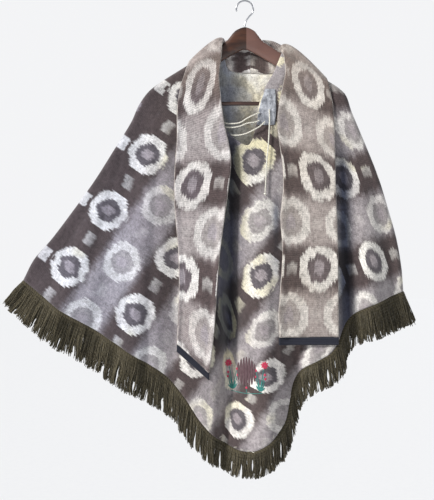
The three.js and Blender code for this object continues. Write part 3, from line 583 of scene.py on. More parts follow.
def nap_group():
    """Brushed wool: fine fibre noise over a low cloudy one, as a height and a shade."""
    group, g, given, out = new_group("wool_nap", [
        ("Position", "NodeSocketVector", None), ("Fibre", "NodeSocketFloat", 420.0)],
        [("Height", "NodeSocketFloat"), ("Shade", "NodeSocketFloat")])
    fine = g.noise(given.outputs[0], given.outputs[1], 3.0, 0.65)
    middling = g.noise(given.outputs[0], 130.0, 2.0, 0.6)
    clouds = g.noise(given.outputs[0], 24.0, 2.0, 0.5)
    g.feed(out.inputs[0], g.plus(g.times(fine, 0.6), g.times(middling, 0.5)))
    shade = g.plus(g.times(g.less(fine, 0.5), 1.5),
                   g.plus(g.times(g.less(middling, 0.5), 1.1),
                          g.times(g.less(clouds, 0.5), 0.6)))
    g.feed(out.inputs[1], g.plus(shade, 1.0))
    return group


YARN_BUNDLES = 13.0  # bundles of yarn that were dyed as one, from ring to ring
YARNS_OF_BUNDLE = 3
RIBS = 23  # from band to band
STEP_BASE = 0.2  # taken off the heights below, so that nothing reaches under zero
# Share of the way to the next ring, then half heights of the ring, its inside and its heart.
RING_STEPS = [(0.0, (0.670, 0.500, 0.350, 1)), (0.08, (0.665, 0.490, 0.310, 1)),
              (0.14, (0.655, 0.450, 0.0, 1)), (0.22, (0.630, 0.390, 0.0, 1)),
              (0.29, (0.595, 0.300, 0.0, 1)), (0.34, (0.560, 0.0, 0.0, 1)),
              (0.42, (0.500, 0.0, 0.0, 1)), (0.50, (0.410, 0.0, 0.0, 1)), (0.57, (0.0, 0.0, 0.0, 1))]


def blanket_group():
    """Dyed-yarn blanket pattern on the weave's own coordinates. Even numbers of the second are the
    middles of dark bands, odd ones of light bands. A stepped ring stands at each whole number of the
    first on a dark band and half-way between on a light one, with a small oblong between two rings.
    Yarns are shifted at random along their length, which gives every edge its comb."""
    group, g, given, out = new_group("blanket_pattern", [
        ("Weave", "NodeSocketVector", None), ("Dark", "NodeSocketColor", srgb(77, 65, 64)),
        ("Light", "NodeSocketColor", srgb(160, 153, 154)),
        ("Ring", "NodeSocketColor", srgb(230, 226, 219)),
        ("Inside", "NodeSocketColor", srgb(96, 90, 94)),
        ("Heart", "NodeSocketColor", srgb(170, 161, 163)),
        ("Strip", "NodeSocketFloat", 0.0), ("Narrow", "NodeSocketFloat", 1.0),
        ("Tall", "NodeSocketFloat", 1.0)],
        [("Color", "NodeSocketColor"), ("White", "NodeSocketFloat")])
    weave, dark, light, ring, inside, heart, strip, narrow, tall = given.outputs[:9]
    k, j = g.axes(weave)[:2]

    def lot(x, y):
        """A number from -0.5 to 0.5 by chance for each pair of whole numbers."""
        drawn = g.node("ShaderNodeTexWhiteNoise", {"Vector": g.vector(x, y)}, noise_dimensions="2D")
        return g.less(drawn.outputs[0], 0.5)

    # shift of each bundle of yarns on each band, a smaller one of each yarn, and a soft one
    bundle = g.math("FLOOR", g.times(k, YARN_BUNDLES))
    yarn = g.math("FLOOR", g.times(k, YARN_BUNDLES * YARNS_OF_BUNDLE))
    drift = g.times(lot(bundle, g.math("FLOOR", g.plus(j, 0.5))), 0.07)
    drift = g.plus(drift, g.times(lot(yarn, 7.0), 0.05))
    fuzz = g.noise(g.vector(g.times(k, 60.0), g.times(j, 26.0)), 1.0, 2.0, 0.6)
    drift = g.plus(drift, g.times(g.less(fuzz, 0.5), 0.08))
    jj = g.plus(j, drift)
    kk = g.plus(k, g.times(g.less(fuzz, 0.5), 0.03))
    down = g.math("PINGPONG", jj, 1.0)  # 0 on a dark band's middle, 1 on a light one's
    up = g.less(1.0, down)
    beside = g.math("PINGPONG", kk, 0.5)  # 0 at a ring of the dark bands, a half between two
    between = g.less(0.5, beside)
    colour = g.blend(strip, g.blend(g.step(down, 0.34, 0.66), dark, light), dark)
    off_strip = g.less(1.0, strip)

    def stepped(across):
        """Half heights of the ring, of its inside and of its heart, in steps across it."""
        heights = g.stairs(g.times(across, g.times(narrow, 2.0)), RING_STEPS)
        each = g.node("ShaderNodeSeparateColor", {0: heights}).outputs
        return [g.less(each[i], STEP_BASE) for i in range(3)]

    def band_of(height, along, soften):
        """1 where the distance along the yarn is less than the half height, with a soft end."""
        return g.step(g.less(height, along), -soften, soften)

    white = 0.0
    faded = g.times(off_strip, 0.75)
    for along, across, ring_share, squeeze in ((down, beside, 1.0, 1.0), (up, between, faded, 1.06)):
        reach = g.math("DIVIDE", g.times(along, squeeze), tall)
        outer, hollow, core = stepped(across)
        on_ring = g.times(band_of(outer, reach, 0.05), ring_share)
        in_hollow = band_of(hollow, reach, 0.045)
        in_core = band_of(core, reach, 0.05)
        colour = g.blend(on_ring, colour, ring)
        hollow_tone = inside if ring_share == 1.0 else g.blend(0.35, light, dark)
        colour = g.blend(g.times(in_hollow, ring_share), colour, hollow_tone)
        colour = g.blend(g.times(in_core, 0.75), colour, heart)
        white = g.math("MAXIMUM", white, g.times(on_ring, g.less(1.0, in_hollow)))
    # the oblongs between two rings: bright at one end, fading to the other
    signed = g.math("WRAP", jj, 1.0, -1.0)
    signed_light = g.math("WRAP", g.plus(jj, 1.0), 1.0, -1.0)
    on_light = g.times(off_strip, 0.22)
    for along, across, share in ((signed, between, 0.62), (signed_light, beside, on_light)):
        within = g.step(g.math("ABSOLUTE", along), 0.07, 0.17, 1.0, 0.0)
        on = g.times(within, g.step(across, 0.085, 0.105, 1.0, 0.0))
        shown = g.times(on, g.times(g.scale(along, -0.17, 0.17, 1.0, 0.3), share))
        colour = g.blend(shown, colour, ring)
        white = g.math("MAXIMUM", white, shown)
    # beside the fold the ground stays dark, with a pale block off each ring
    off_block = g.math("PINGPONG", g.plus(k, -0.06), 0.5)
    block = g.times(g.step(g.math("ABSOLUTE", g.plus(jj, 0.70)), 0.11, 0.15, 1.0, 0.0),
                    g.step(off_block, 0.09, 0.115, 1.0, 0.0))
    colour = g.blend(g.times(block, g.times(strip, 0.85)), colour, ring)
    # yarn streaks along the run of the yarns
    streak = g.noise(g.vector(g.times(k, 120.0), g.times(j, 5.0)), 1.0, 2.0, 0.6)
    g.feed(out.inputs[0], g.shaded(colour, g.scale(streak, 0.25, 0.75, 0.80, 1.20)))
    g.feed(out.inputs[1], white)
    return group


NAP = nap_group()
PATTERN = blanket_group()


def blanket_material(name, tint, cream=0.0, rib=0.5, worn=0.0, **pattern_values):
    """The blanket's face: the pattern, its rings warmed to cream round the middle as painted warm light
    in the shade there, worn plainer by a share at the neck, cooled on the left as painted light and
    darkened in the troughs as painted shade, with nap and faint ribs."""
    material, g, shader, place = new_material(name)
    weave = g.weave()
    nap = use_group(g, NAP, {"Position": place})
    strip = g.attribute("fold_strip")
    pattern = use_group(g, PATTERN, {"Weave": weave, "Strip": strip, **pattern_values})
    colour, white = pattern.outputs[0], pattern.outputs[1]
    x, y, z = g.axes(place)[:3]
    # painted warm light: the rings' white turns cream by the trough left of the middle and high on the
    # front, above the hem; noise adds cream patches at random as well
    if cream:
        near = g.step(g.math("ABSOLUTE", g.plus(x, 0.038)), 0.015, 0.060, 1.0, 0.0)
        near = g.math("MAXIMUM", near, g.step(z, -0.42, -0.37, 0.0, 0.8))
        high = g.times(g.step(z, -0.92, -0.80, 0.0, 1.0), g.step(x, -0.13, -0.10, 0.0, 1.0))
        high = g.times(high, g.step(x, 0.09, 0.12, 1.0, 0.0))
        patches = g.step(g.noise(place, 9.0, 1.0), 0.56, 0.66, 0.0, 0.45)
        warm = g.times(g.math("MAXIMUM", g.times(near, high), patches), cream)
        colour = g.blend(g.times(warm, white), colour, srgb(216, 204, 146))
    if worn:
        front = g.step(y, 0.0, 0.012, 1.0, 0.0)
        share = g.times(g.step(z, -0.27, -0.16, 0.0, worn), front)
        colour = g.blend(share, colour, srgb(160, 145, 134))
    clouds = g.noise(place, 7.0, 2.0, 0.5)
    colour = g.blend(g.step(clouds, 0.42, 0.68, 0.0, 0.5), colour, tint, "MULTIPLY")
    # painted light: the left side of the cloth cooled to blue
    colour = g.blend(g.step(x, -0.30, -0.12, 0.9, 0.0), colour, srgb(230, 237, 255), "MULTIPLY")
    # painted shade: the troughs that the hollow attribute marks are darkened and blued
    hollow = g.attribute("hollow")
    colour = g.blend(hollow, colour, srgb(96, 104, 128), "MULTIPLY")
    run = g.axes(weave)[1]
    sway = g.times(g.noise(place, 30.0, 1.0), 0.05)
    wave = g.math("SINE", g.times(g.plus(run, sway), 2 * math.pi * RIBS))
    shade = g.plus(nap.outputs["Shade"], g.times(wave, 0.07 * rib))
    g.feed(shader.inputs["Base Color"], g.shaded(colour, shade))
    height = g.plus(nap.outputs["Height"], g.times(wave, 0.35 * rib))
    bump(g, shader, height, 0.55, 0.0016)
    g.feed(shader.inputs["Roughness"], g.scale(nap.outputs["Height"], 0.2, 0.9, 1.0, 0.86))
    wool_sheen(shader, 0.35, (0.92, 0.90, 0.90, 1), 0.6)
    return material


def brushed_material(name, pale, dark, shadowed=0.0):
    """Fluffy reverse: pale tufts over a darker ground, with a deep soft nap, and a share of blue-grey
    painted shade on its left."""
    material, g, shader, place = new_material(name)
    nap = use_group(g, NAP, {"Position": place, "Fibre": 300.0})
    stretched = g.node("ShaderNodeMapping", {"Vector": place, "Scale": (1.0, 1.0, 0.55)}).outputs[0]
    tufts = g.noise(stretched, 75.0, 3.0, 0.65)
    broad = g.noise(place, 13.0, 1.0, 0.5)
    mask = g.step(g.plus(tufts, g.times(broad, 0.5)), 0.55, 0.95)
    colour = g.blend(mask, dark, pale)
    if shadowed:
        # painted shade: the reverse's left turns blue-grey
        x = g.axes(place)[0]
        edge = g.plus(x, g.times(g.less(broad, 0.5), 0.05))
        blue = g.step(edge, -0.040, 0.004, shadowed, 0.0)
        colour = g.blend(blue, colour, srgb(132, 142, 170), "MULTIPLY")
        straw = g.step(g.noise(place, 22.0, 1.0), 0.46, 0.62, 0.0, 0.45)
        colour = g.blend(straw, colour, srgb(244, 234, 196), "MULTIPLY")
    g.feed(shader.inputs["Base Color"], g.shaded(colour, nap.outputs["Shade"]))
    bump(g, shader, g.plus(nap.outputs["Height"], tufts), 0.7, 0.0025)
    shader.inputs["Roughness"].default_value = 0.97
    wool_sheen(shader, 0.5, (0.95, 0.94, 0.92, 1), 0.6)
    return material


def yarn_material(name, deep, colour_low, colour_high, twists=180.0, rough=0.92):
    """Twisted yarn: slanting plies from the piece's own coordinates, a tone for each strand."""
    material, g, shader, place = new_material(name)
    weave = g.weave()
    tone = g.attribute("tone")
    around, along = g.axes(weave)[:2]
    turns = g.plus(g.times(along, twists), g.times(around, 2.0))
    ply = g.math("SINE", g.times(turns, 2 * math.pi))
    fibre = g.noise(place, 900.0, 2.0, 0.6)
    colour = g.blend(tone, colour_low, colour_high)
    # painted shade: the grooves between the plies darkened towards the deep colour
    groove = g.step(ply, -1.0, 0.1, 0.55, 0.0)
    colour = g.blend(groove, colour, deep)
    g.feed(shader.inputs["Base Color"], g.shaded(colour, g.scale(fibre, 0.3, 0.7, 0.82, 1.18)))
    bump(g, shader, g.plus(g.times(ply, 0.5), fibre), 0.5, 0.0006)
    shader.inputs["Roughness"].default_value = rough
    wool_sheen(shader, 0.25, (0.8, 0.78, 0.7, 1), 0.5)
    return material


def wood_material(name, pale, deep, stretch, rough=0.34, painted_light_right=0.0):
    """Varnished wood: long grain that follows one axis, fine pores, and a clear coat. The arm to the
    right of the middle joint may get painted light: a paler, greyer colour."""
    material, g, shader, place = new_material(name)
    long = g.node("ShaderNodeMapping", {"Vector": place, "Scale": stretch}).outputs[0]
    grain = g.noise(long, 60.0, 4.0, 0.6)
    pores = g.noise(long, 420.0, 2.0, 0.5)
    patches = g.noise(place, 18.0, 2.0, 0.5)
    colour = g.blend(g.step(grain, 0.35, 0.7), deep, pale)
    colour = g.blend(g.step(pores, 0.55, 0.72, 0.0, 0.5), colour, deep)
    # painted light: the arm right of the middle joint made paler and greyer
    if painted_light_right:
        x = g.axes(place)[0]
        side = g.step(x, 0.0025, 0.0045, 0.0, painted_light_right)
        colour = g.blend(side, colour, srgb(150, 112, 102))
    g.feed(shader.inputs["Base Color"], g.shaded(colour, g.scale(patches, 0.3, 0.7, 0.9, 1.1)))
    g.feed(shader.inputs["Roughness"], g.scale(patches, 0.3, 0.7, rough - 0.05, rough + 0.1))
    bump(g, shader, g.plus(grain, pores), 0.12, 0.0006)
    shader.inputs["Coat Weight"].default_value = 0.35
    shader.inputs["Coat Roughness"].default_value = 0.25
    return material


def steel_material(name):
    """Bright drawn wire: fine lines along its length and faint dull patches."""
    material, g, shader, place = new_material(name)
    drawn = g.node("ShaderNodeMapping", {"Vector": place, "Scale": (1.0, 1.0, 0.12)}).outputs[0]
    lines = g.noise(drawn, 1400.0, 2.0, 0.5)
    dull = g.noise(place, 60.0, 3.0, 0.6)
    shader.inputs["Metallic"].default_value = 1.0
    colour = g.blend(g.step(dull, 0.4, 0.7), (0.62, 0.63, 0.66, 1), (0.45, 0.45, 0.47, 1))
    g.feed(shader.inputs["Base Color"], colour)
    g.feed(shader.inputs["Roughness"], g.scale(dull, 0.3, 0.7, 0.18, 0.36))
    bump(g, shader, lines, 0.08, 0.0003)
    return material


# Camera, lights and studio

CENTRE = (-0.0655, -0.586)  # what the middle of the frame shows, in X and Z
DISTANCE = 2.4
VIEW_HEIGHT = 1.158  # height of the frame at the front's cloth
PLANE_Y = -0.045
FLOOR = -1.62


def studio():
    """Camera square to the front, a wide pale floor, a soft key from the upper left and a weak one
    from behind. The room behind the floor shows as pale as the floor does."""
    camera = bpy.data.cameras.new("camera")
    camera.sensor_width = 36.0
    camera.lens = 36.0 * DISTANCE / VIEW_HEIGHT
    holder = bpy.data.objects.new("camera", camera)
    holder.location = (CENTRE[0], PLANE_Y - DISTANCE, CENTRE[1])
    holder.rotation_euler = (math.pi / 2, 0, 0)
    bpy.context.scene.collection.objects.link(holder)
    bpy.context.scene.camera = holder

    # floor: rings of a flat disc
    ring = np.linspace(0, 2 * np.pi, 64, endpoint=False)
    disc = np.stack([[r * np.cos(ring), r * np.sin(ring), np.full(64, FLOOR)]
                     for r in (0.5, 2.0, 6.0, 20.0)]).transpose(0, 2, 1)
    mesh = bpy.data.meshes.new("floor")
    faces = tiles(4, 64, wrap=True)[:, ::-1].tolist() + [list(range(64))]
    mesh.from_pydata(disc.reshape(-1, 3).tolist(), [], faces)
    material, g, shader, place = new_material("studio_floor")
    speck = g.noise(place, 40.0, 2.0)
    g.feed(shader.inputs["Base Color"], g.blend(speck, (0.86, 0.86, 0.87, 1), (0.90, 0.90, 0.90, 1)))
    shader.inputs["Roughness"].default_value = 0.95
    mesh.materials.append(material)
    floor = bpy.data.objects.new("floor", mesh)
    bpy.context.scene.collection.objects.link(floor)
    floor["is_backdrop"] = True

    def sun(name, toward, power, spread, colour):
        """Parallel light that comes from a direction."""
        data = bpy.data.lights.new(name, "SUN")
        data.energy, data.angle, data.color = power, math.radians(spread), colour
        lit = bpy.data.objects.new(name, data)
        x, y, z = toward
        lit.rotation_euler = (math.atan2(math.hypot(x, y), z), 0, math.atan2(x, -y))
        bpy.context.scene.collection.objects.link(lit)

    sun("key", (-0.80, -0.46, 0.46), 3.6, 10, (1.0, 0.985, 0.96))
    sun("behind", (0.5, 0.75, 0.42), 1.3, 25, (0.97, 0.98, 1.0))
    world = bpy.data.worlds.new("room")
    world.use_nodes = True
    g = Graph(world.node_tree)
    world.node_tree.nodes.clear()
    seen = g.node("ShaderNodeBackground", {0: (0.90, 0.905, 0.92, 1), 1: 1.0})
    fill = g.node("ShaderNodeBackground", {0: (0.90, 0.94, 1.0, 1), 1: 0.36})
    straight = g.node("ShaderNodeLightPath").outputs["Is Camera Ray"]
    either = g.node("ShaderNodeMixShader", {0: straight, 1: fill.outputs[0], 2: seen.outputs[0]})
    g.feed(g.node("ShaderNodeOutputWorld").inputs[0], either.outputs[0])
    bpy.context.scene.world = world
    bpy.context.scene.view_settings.view_transform = "Standard"


studio()

BLANKET = blanket_material("blanket_face", srgb(212, 208, 214), cream=0.75, rib=0.35)
# painted light: the left lapel's copy is lighter and cooler than the right's, as lit from the left
COLLAR_FACES = {
    "left": blanket_material("blanket_collar_left", srgb(232, 226, 224), rib=1.0, worn=0.45, Narrow=0.86,
                             Tall=1.1, Dark=srgb(86, 73, 73), Light=srgb(170, 161, 161),
                             Ring=srgb(228, 224, 221), Inside=srgb(102, 92, 97),
                             Heart=srgb(168, 160, 166)),
    "right": blanket_material("blanket_collar_right", srgb(230, 222, 214), rib=1.0, worn=0.45,
                              Narrow=0.80, Tall=1.06, Dark=srgb(84, 71, 68), Light=srgb(162, 151, 146),
                              Ring=srgb(216, 210, 202), Inside=srgb(98, 87, 87),
                              Heart=srgb(156, 146, 147)),
}
BLANKET_BACK = blanket_material("blanket_back_face", srgb(220, 214, 216), rib=0.35)
EDGE = brushed_material("blanket_edge", srgb(196, 188, 180), srgb(120, 110, 106))
REVERSE = brushed_material("blanket_reverse", srgb(252, 249, 240), srgb(216, 211, 202), 0.85)
FLUFFY = brushed_material("fluffy_flap", srgb(190, 193, 200), srgb(116, 119, 128))
COTTON = yarn_material("lace_cotton", srgb(150, 145, 130), srgb(225, 222, 208), srgb(238, 235, 224),
                       160.0, 0.7)


# Cords: the lace's free end comes first, with its knot

def lace_piece(name, path, sides=14):
    """Twisted lace: a circle rippled by three strands, carried along a smooth line."""
    radius = np.full(len(path), LACE / 2)
    radius[:2] *= (0.7, 0.95)
    points, quads = tube(path, radius, sides, twist=0.75, ripple=0.05)
    run = np.concatenate([[0], np.cumsum(np.linalg.norm(np.diff(path, axis=0), axis=1))]) * MM
    around = np.tile(np.linspace(0, 1, sides, endpoint=False), len(path))
    uv = np.stack([around, np.repeat(run, sides)], axis=1)
    uv = np.concatenate([uv, [[0, run[0]]], [[0, run[-1]]]])
    return make(name + "_cord", points, quads, [COTTON], "lace", [name], uv=uv,
                tone=np.full(len(points), 0.6))


end_rows = np.array(LACE_END, float)
end_y = face_y(end_rows[:, 0], end_rows[:, 1], FRONT, True) - LACE_END_OFF_CLOTH
END_POINTS = np.stack([end_rows[:, 0], end_y, end_rows[:, 1]], axis=1)
end_path = smooth_line(END_POINTS)(np.linspace(0, 1, 70))
lace_end = lace_piece("lace_end", end_path)

# Overhand knot: the lace's own thickness along a trefoil, pulled small, over a closed core
knot_radius = LACE * 1.15
knot_centre = END_POINTS[-1] - [0, 0, knot_radius + SEAM]
turn = np.linspace(0, 2 * np.pi, 97)
loop = np.stack([np.sin(turn) + 2 * np.sin(2 * turn), np.cos(turn) - 2 * np.cos(2 * turn),
                 -1.6 * np.sin(3 * turn)], axis=1)
loop = knot_centre + loop * (knot_radius - 1.1) / 3.0
knot_path = np.concatenate([loop[:-1], loop[:1] + [[0.05, 0, 0]]])
ring = np.linspace(0, 2 * np.pi, 16, endpoint=False)
fall = np.linspace(0.12, np.pi - 0.12, 9)
core = knot_centre + (knot_radius - 1.0) * np.stack([
    np.sin(fall)[:, None] * np.cos(ring), np.sin(fall)[:, None] * np.sin(ring),
    np.cos(fall)[:, None] * np.ones(16)], axis=-1)
tip_path = knot_centre + np.linspace(0, 1, 8)[:, None] * [1.0, -0.4, -4.2]
knot_points, knot_quads = join([tube(knot_path, 1.1, 10), closed_rows(core),
                                tube(tip_path, np.linspace(1.3, 0.7, 8), 10)])
lace_knot = make("lace_knot_tied", knot_points, knot_quads, [COTTON], "lace", ["lace_knot"],
                 uv=knot_points[:, [0, 2]] * MM, tone=np.full(len(knot_points), 0.6))
for title, rows in (("lace_upper", LACE_UPPER), ("lace_middle", LACE_MIDDLE), ("lace_lower", LACE_LOWER)):
    lace_piece(title, smooth_line(rows)(np.linspace(0, 1, 48)))


# The collar: sections at the neck and straight lines on the lapels, smooth along its length

def collar_line(neck_rows, lapel_rows):
    """Cubic section at a row of the strip and a share across it, as whole arrays.
    The four control points are smooth lines through the table's rows."""
    neck = np.array(neck_rows, float)
    lapel = np.array(lapel_rows, float)
    lines = []
    for i, share in enumerate((0, 1 / 3, 2 / 3, 1)):
        x = mix(lapel[:, 0], lapel[:, 2], share)
        z = mix(lapel[:, 1], lapel[:, 3], share)
        hanging = np.stack([x, face_y(x, z, FRONT, True) - LAPEL_LIFT, z], axis=1)
        points = np.concatenate([neck[:, i], hanging])
        lines.append(smooth_line(points, np.arange(len(points), dtype=float)))
    last = len(neck) + len(lapel) - 1
    shoulder = len(neck) - 1

    def sewn(row, p):
        """The sewn edge keeps to the neckline: back's face, over the shoulder, off the front's face."""
        x, y, z = p[:, 0], p[:, 1], p[:, 2]
        lift = LAPEL_LIFT * np.minimum(1, 5 * np.maximum(row - shoulder, 0))
        y = np.where(row < shoulder, face_y(x, z, BACK),
                     np.where(row < shoulder + 1e-9, middle(x, z),
                              np.where(row < shoulder + 1, face_y(x, z, FRONT) - lift, y)))
        return np.stack([x, y, z], axis=1)

    def at(row, q):
        a, b, c, d = (line(row / last) for line in lines)
        a = sewn(row, a)
        q = q[None, :, None]
        p = 1 - q
        return (p**3 * a[:, None] + 3 * p * p * q * b[:, None]
                + 3 * p * q * q * c[:, None] + q**3 * d[:, None])

    return at


COLLARS = {
    "left": (COLLAR_LEFT_NECK, LAPEL_LEFT, -1, -SEAM / 2),
    "right": (COLLAR_RIGHT_NECK, LAPEL_RIGHT, 1, SEAM / 2),
}


def collar_grid(neck_rows, lapel_rows, neck_steps=22, lapel_steps=14, columns=36):
    """Under face of the strip, kept off the cloth below it where it doesn't stand."""
    line = collar_line(neck_rows, lapel_rows)
    neck_end = len(neck_rows)
    row = np.concatenate([np.arange(neck_end * neck_steps) / neck_steps,
                          neck_end + np.arange((len(lapel_rows) - 1) * lapel_steps + 1) / lapel_steps])
    q = np.linspace(0, 1, columns + 1)
    grid = line(row, q)
    lift = mix(LAPEL_LIFT, NECK_LIFT, 1 - soft((row - neck_end) / 1.5))[:, None]
    held = clear_of_body(grid[..., 0], grid[..., 1], grid[..., 2], lift)
    from_stand = np.where(row[:, None] < neck_end - 1, (q - 0.375) / 0.125, q / 0.125)
    share = np.where(row[:, None] < neck_end, np.clip(from_stand, 0, 1), 1)
    grid[..., 1] = mix(grid[..., 1], held, share)
    hanging = soft((row - neck_end) / 2)[:, None]
    curl = 4.5 * soft(1 - q / 0.16) + 2.5 * soft((q - 0.88) / 0.12)
    wave = 1.3 * (1 + np.sin(1.55 * row[:, None] + 3.0 * q)) * soft(4 * q * (1 - q))
    grid[..., 1] -= hanging * (curl + wave)
    return grid, row


def grid_normals(grid):
    """Across the grid: the chord down the rows crossed with the chord along the columns."""
    down = np.gradient(grid, axis=0)
    across = np.gradient(grid, axis=1)
    return unit(np.cross(down, across))


# Heights of the rows of rings on the lapels against the numbers of their bands, and how far the
# rings move towards the inner edge there, as a share of the 126 mm from ring to ring.
LAPEL_ROWS = {
    "left": [(-206, -2, 0.29), (-333, -1, 0.10), (-434, 0, 0.0), (-544, 1, 0.0), (-656, 2, 0.0),
             (-761, 3, 0.0)],
    "right": [(-206, -2, 0.20), (-317, -1, 0.06), (-413, 0, 0.0), (-527, 1, 0.0), (-627, 2, 0.0),
              (-738, 3, 0.0)],
}
RING_SPACING, BAND_SPACING = 126, 105.3


def strip_weave(grid, rows):
    """Pattern coordinates on a strip: rings at even distances across it, and bands along it whose
    middles pass the given heights. A dark band stands at the centre back, two above the first row."""
    across = np.linalg.norm(np.diff(grid, axis=1), axis=2)
    wide = np.concatenate([np.zeros((len(grid), 1)), np.cumsum(across, axis=1)], axis=1)
    centre = grid[:, grid.shape[1] * 2 // 3]
    run = np.concatenate([[0], np.cumsum(np.linalg.norm(np.diff(centre, axis=0), axis=1))])
    height, number, shift = np.array(rows, float).T
    stops = np.interp(-height, -np.minimum.accumulate(centre[:, 2]), run)
    j = np.interp(run, stops, number)
    j = j + np.minimum(0, run - stops[0]) * 2 / stops[0] + np.maximum(0, run - stops[-1]) / BAND_SPACING
    k = (wide - 86) / RING_SPACING + np.interp(run, [0, *stops], [-0.06, *shift])[:, None]
    return np.stack([k, np.broadcast_to(j[:, None], k.shape)], axis=-1).reshape(-1, 2)


for side, (neck, lapel, turn_side, apart) in COLLARS.items():
    grid, row = collar_grid(neck, lapel)
    grid[0, :, 0] += apart
    normal = grid_normals(grid) * turn_side
    normal[0, :, 0] = 0
    normal[0] = unit(normal[0])
    outer = grid + normal * CLOTH
    weave = strip_weave(outer, LAPEL_ROWS[side])
    points, quads, source, part = wall(outer, grid, 0.45)
    faces = [COLLAR_FACES[side], COLLAR_FACES[side], EDGE]
    make(f"collar_{side}_cloth", points, quads, faces, "blanket", [f"collar_{side}"],
                         uv=weave[source], part=part)


# The two halves of the body

def column_shares(count):
    """Shares across a half: close together in the round folds, even between them."""
    edge = np.array([0, 0.0008, 0.0016, 0.003, 0.0055, 0.008, 0.011, 0.015, 0.019, 0.0245, 0.03])
    between = edge[-1] + (1 - 2 * edge[-1]) * np.arange(1, count) / count
    return np.concatenate([edge, between, 1 - edge[::-1]])


def half_grid(neck, hem, side, columns, rows):
    """Patch spread between neckline, hem and folded sides, at the height of the cloth's face."""
    u, v = column_shares(columns), np.linspace(0, 1, rows)
    top, foot = neck(u)[None], hem(u)[None]
    left, right = left_fold(v)[:, None], right_fold(v)[:, None]
    uu, vv = u[None, :, None], v[:, None, None]
    corners = mix(mix(neck(0.0), neck(1.0), uu), mix(hem(0.0), hem(1.0), uu), vv)
    flat = mix(top, foot, vv) + mix(left, right, uu) - corners
    x, z = flat[..., 0], flat[..., 1]
    depth, _ = fold_depth(x, z)
    crease = fold_height(CREASES[side], x, z) * soft(depth / 40) * soft((-z - 240) / 80)
    return np.stack([x, face_y(x, z, side) + side * (SEAM / 2 - crease), z], axis=-1)


def through_cloth(grid, side):
    """Straight back in the middle of a half, turning inwards at its folded sides."""
    depth, inward = fold_depth(grid[..., 0], grid[..., 2])
    flat_share = 1 - np.clip(depth / FOLD_RADIUS, 0, 1)
    back = -side * np.sqrt(np.maximum(0, 1 - flat_share**2))
    return np.stack([inward[..., 0] * flat_share, back, inward[..., 1] * flat_share], axis=-1)


def back_neckline():
    """The collar's sewn edge seen from behind, pushed out from the neck's middle by a seam."""
    lines = [collar_line(COLLAR_LEFT_NECK, LAPEL_LEFT), collar_line(COLLAR_RIGHT_NECK, LAPEL_RIGHT)]
    last = len(COLLAR_LEFT_NECK) - 1

    def at(share):
        turn_at = (np.atleast_1d(np.asarray(share, float)) - 0.5) * 2 * last
        left, right = (line(np.abs(turn_at), np.zeros(1))[:, 0] for line in lines)
        p = np.where(turn_at[:, None] < 0, left, right)[:, [0, 2]]
        away = unit(p - NECK_CENTRE)
        p = p + away * NECK_SEAM
        return p[0] if np.ndim(share) == 0 else p

    return at


PIXEL = 2.34  # millimetres in the unit that the pattern's own measures are given in
# Distance square to the left half's bands against the number of the band.
BAND_STEPS = [(-200, -5), (-80, -2), (0, 0), (40, 1), (82, 2), (121, 3), (157, 4), (190, 5), (225, 6),
              (262, 7), (420, 11)]
# Cloth taken up in the centre trough, as a shift along the bands against the distance down.
GATHERED = [(100, 0.05), (155, -0.08), (215, -0.26), (268, -0.41), (322, -0.54), (375, -0.61),
            (408, -0.42), (440, -0.40)]
# How far the strip beside the centre trough is drawn to the right and down, against the same.
DRAWN_ACROSS = [(120, 4), (215, 4), (268, 0), (322, 2), (375, -6), (430, -4)]
DRAWN_DOWN = [(120, 10), (215, 10), (268, 6), (322, 7), (375, 0), (430, 0)]


def body_weave(grid, joined):
    """Pattern coordinates on the body: bands slope down to the left half and to the right one at
    different angles, and run into each other under the right lapel or across the back."""
    px = 245 + grid[..., 0] / PIXEL
    py = -(grid[..., 2] + 1) / PIXEL
    loose = soft((py - 376) / 26)  # the trough opens out near the hem
    taken = soft((px - mix(212, 150, loose)) / mix(30, 110, loose))
    gather = taken * table(GATHERED, py) if joined else 0.0
    if joined:
        near = soft((px - 222) / 22) * soft((300 - px) / 20)
        px, py = px - near * table(DRAWN_ACROSS, py), py - near * table(DRAWN_DOWN, py)
    j_left = table(BAND_STEPS, 0.82 * px + 0.574 * py - 210.7)
    k_left = (-0.574 * px + 0.82 * py - 42.2) / 68 + gather
    j_right = 6 + (py - 262 + 0.344 * (px - 373)) / 46
    k_right = -1 + (-0.945 * px + 0.326 * py + 267) / 46
    share = soft((px - 290) / 55) if joined else soft((px - 190) / 150)
    return np.stack([mix(k_left, k_right, share), mix(j_left, j_right, share)], axis=-1).reshape(-1, 2)


def fold_strip(grid):
    """1 on the dark ground beside the left folded side, in the pattern's own measures, 0 elsewhere."""
    off_row = 0.82 * (245 + grid[..., 0] / PIXEL) - 0.574 * (grid[..., 2] + 1) / PIXEL - 210.7
    return (soft((-12 - off_row) / 5) * soft((off_row + 48) / 8)).reshape(-1)


halves = {}
for title, neck, hem, side, columns, rows, face in (
        ("front", smooth_line(NECK_FRONT), smooth_line(HEM_FRONT), FRONT, 190, 140, BLANKET),
        ("back", back_neckline(), smooth_line(HEM_BACK), BACK, 150, 120, BLANKET_BACK)):
    grid = half_grid(neck, hem, side, columns, rows)
    weave = body_weave(grid, title == "front")
    inner = grid + through_cloth(grid, side) * CLOTH
    points, quads, source, part = wall(grid, inner, 0.12)
    # painted shade for the front's troughs, carried to the material as the hollow attribute
    shaded = fold_height(PAINTED_SHADE_TROUGHS, grid[..., 0], grid[..., 2]) * soft((grid[..., 2] + 850) / 70)
    shaded = shaded.reshape(-1) * (title == "front")
    halves[title] = make(f"body_{title}_cloth", points, quads, [face, REVERSE, EDGE], "blanket",
                         [f"body_{title}"], uv=weave[source], part=part,
                         fold_strip=fold_strip(grid)[source], hollow=shaded[source])
    halves[title + "_grid"] = grid


# Fringe: a rounded heading along the hem, and yarns in loose locks that hang from it

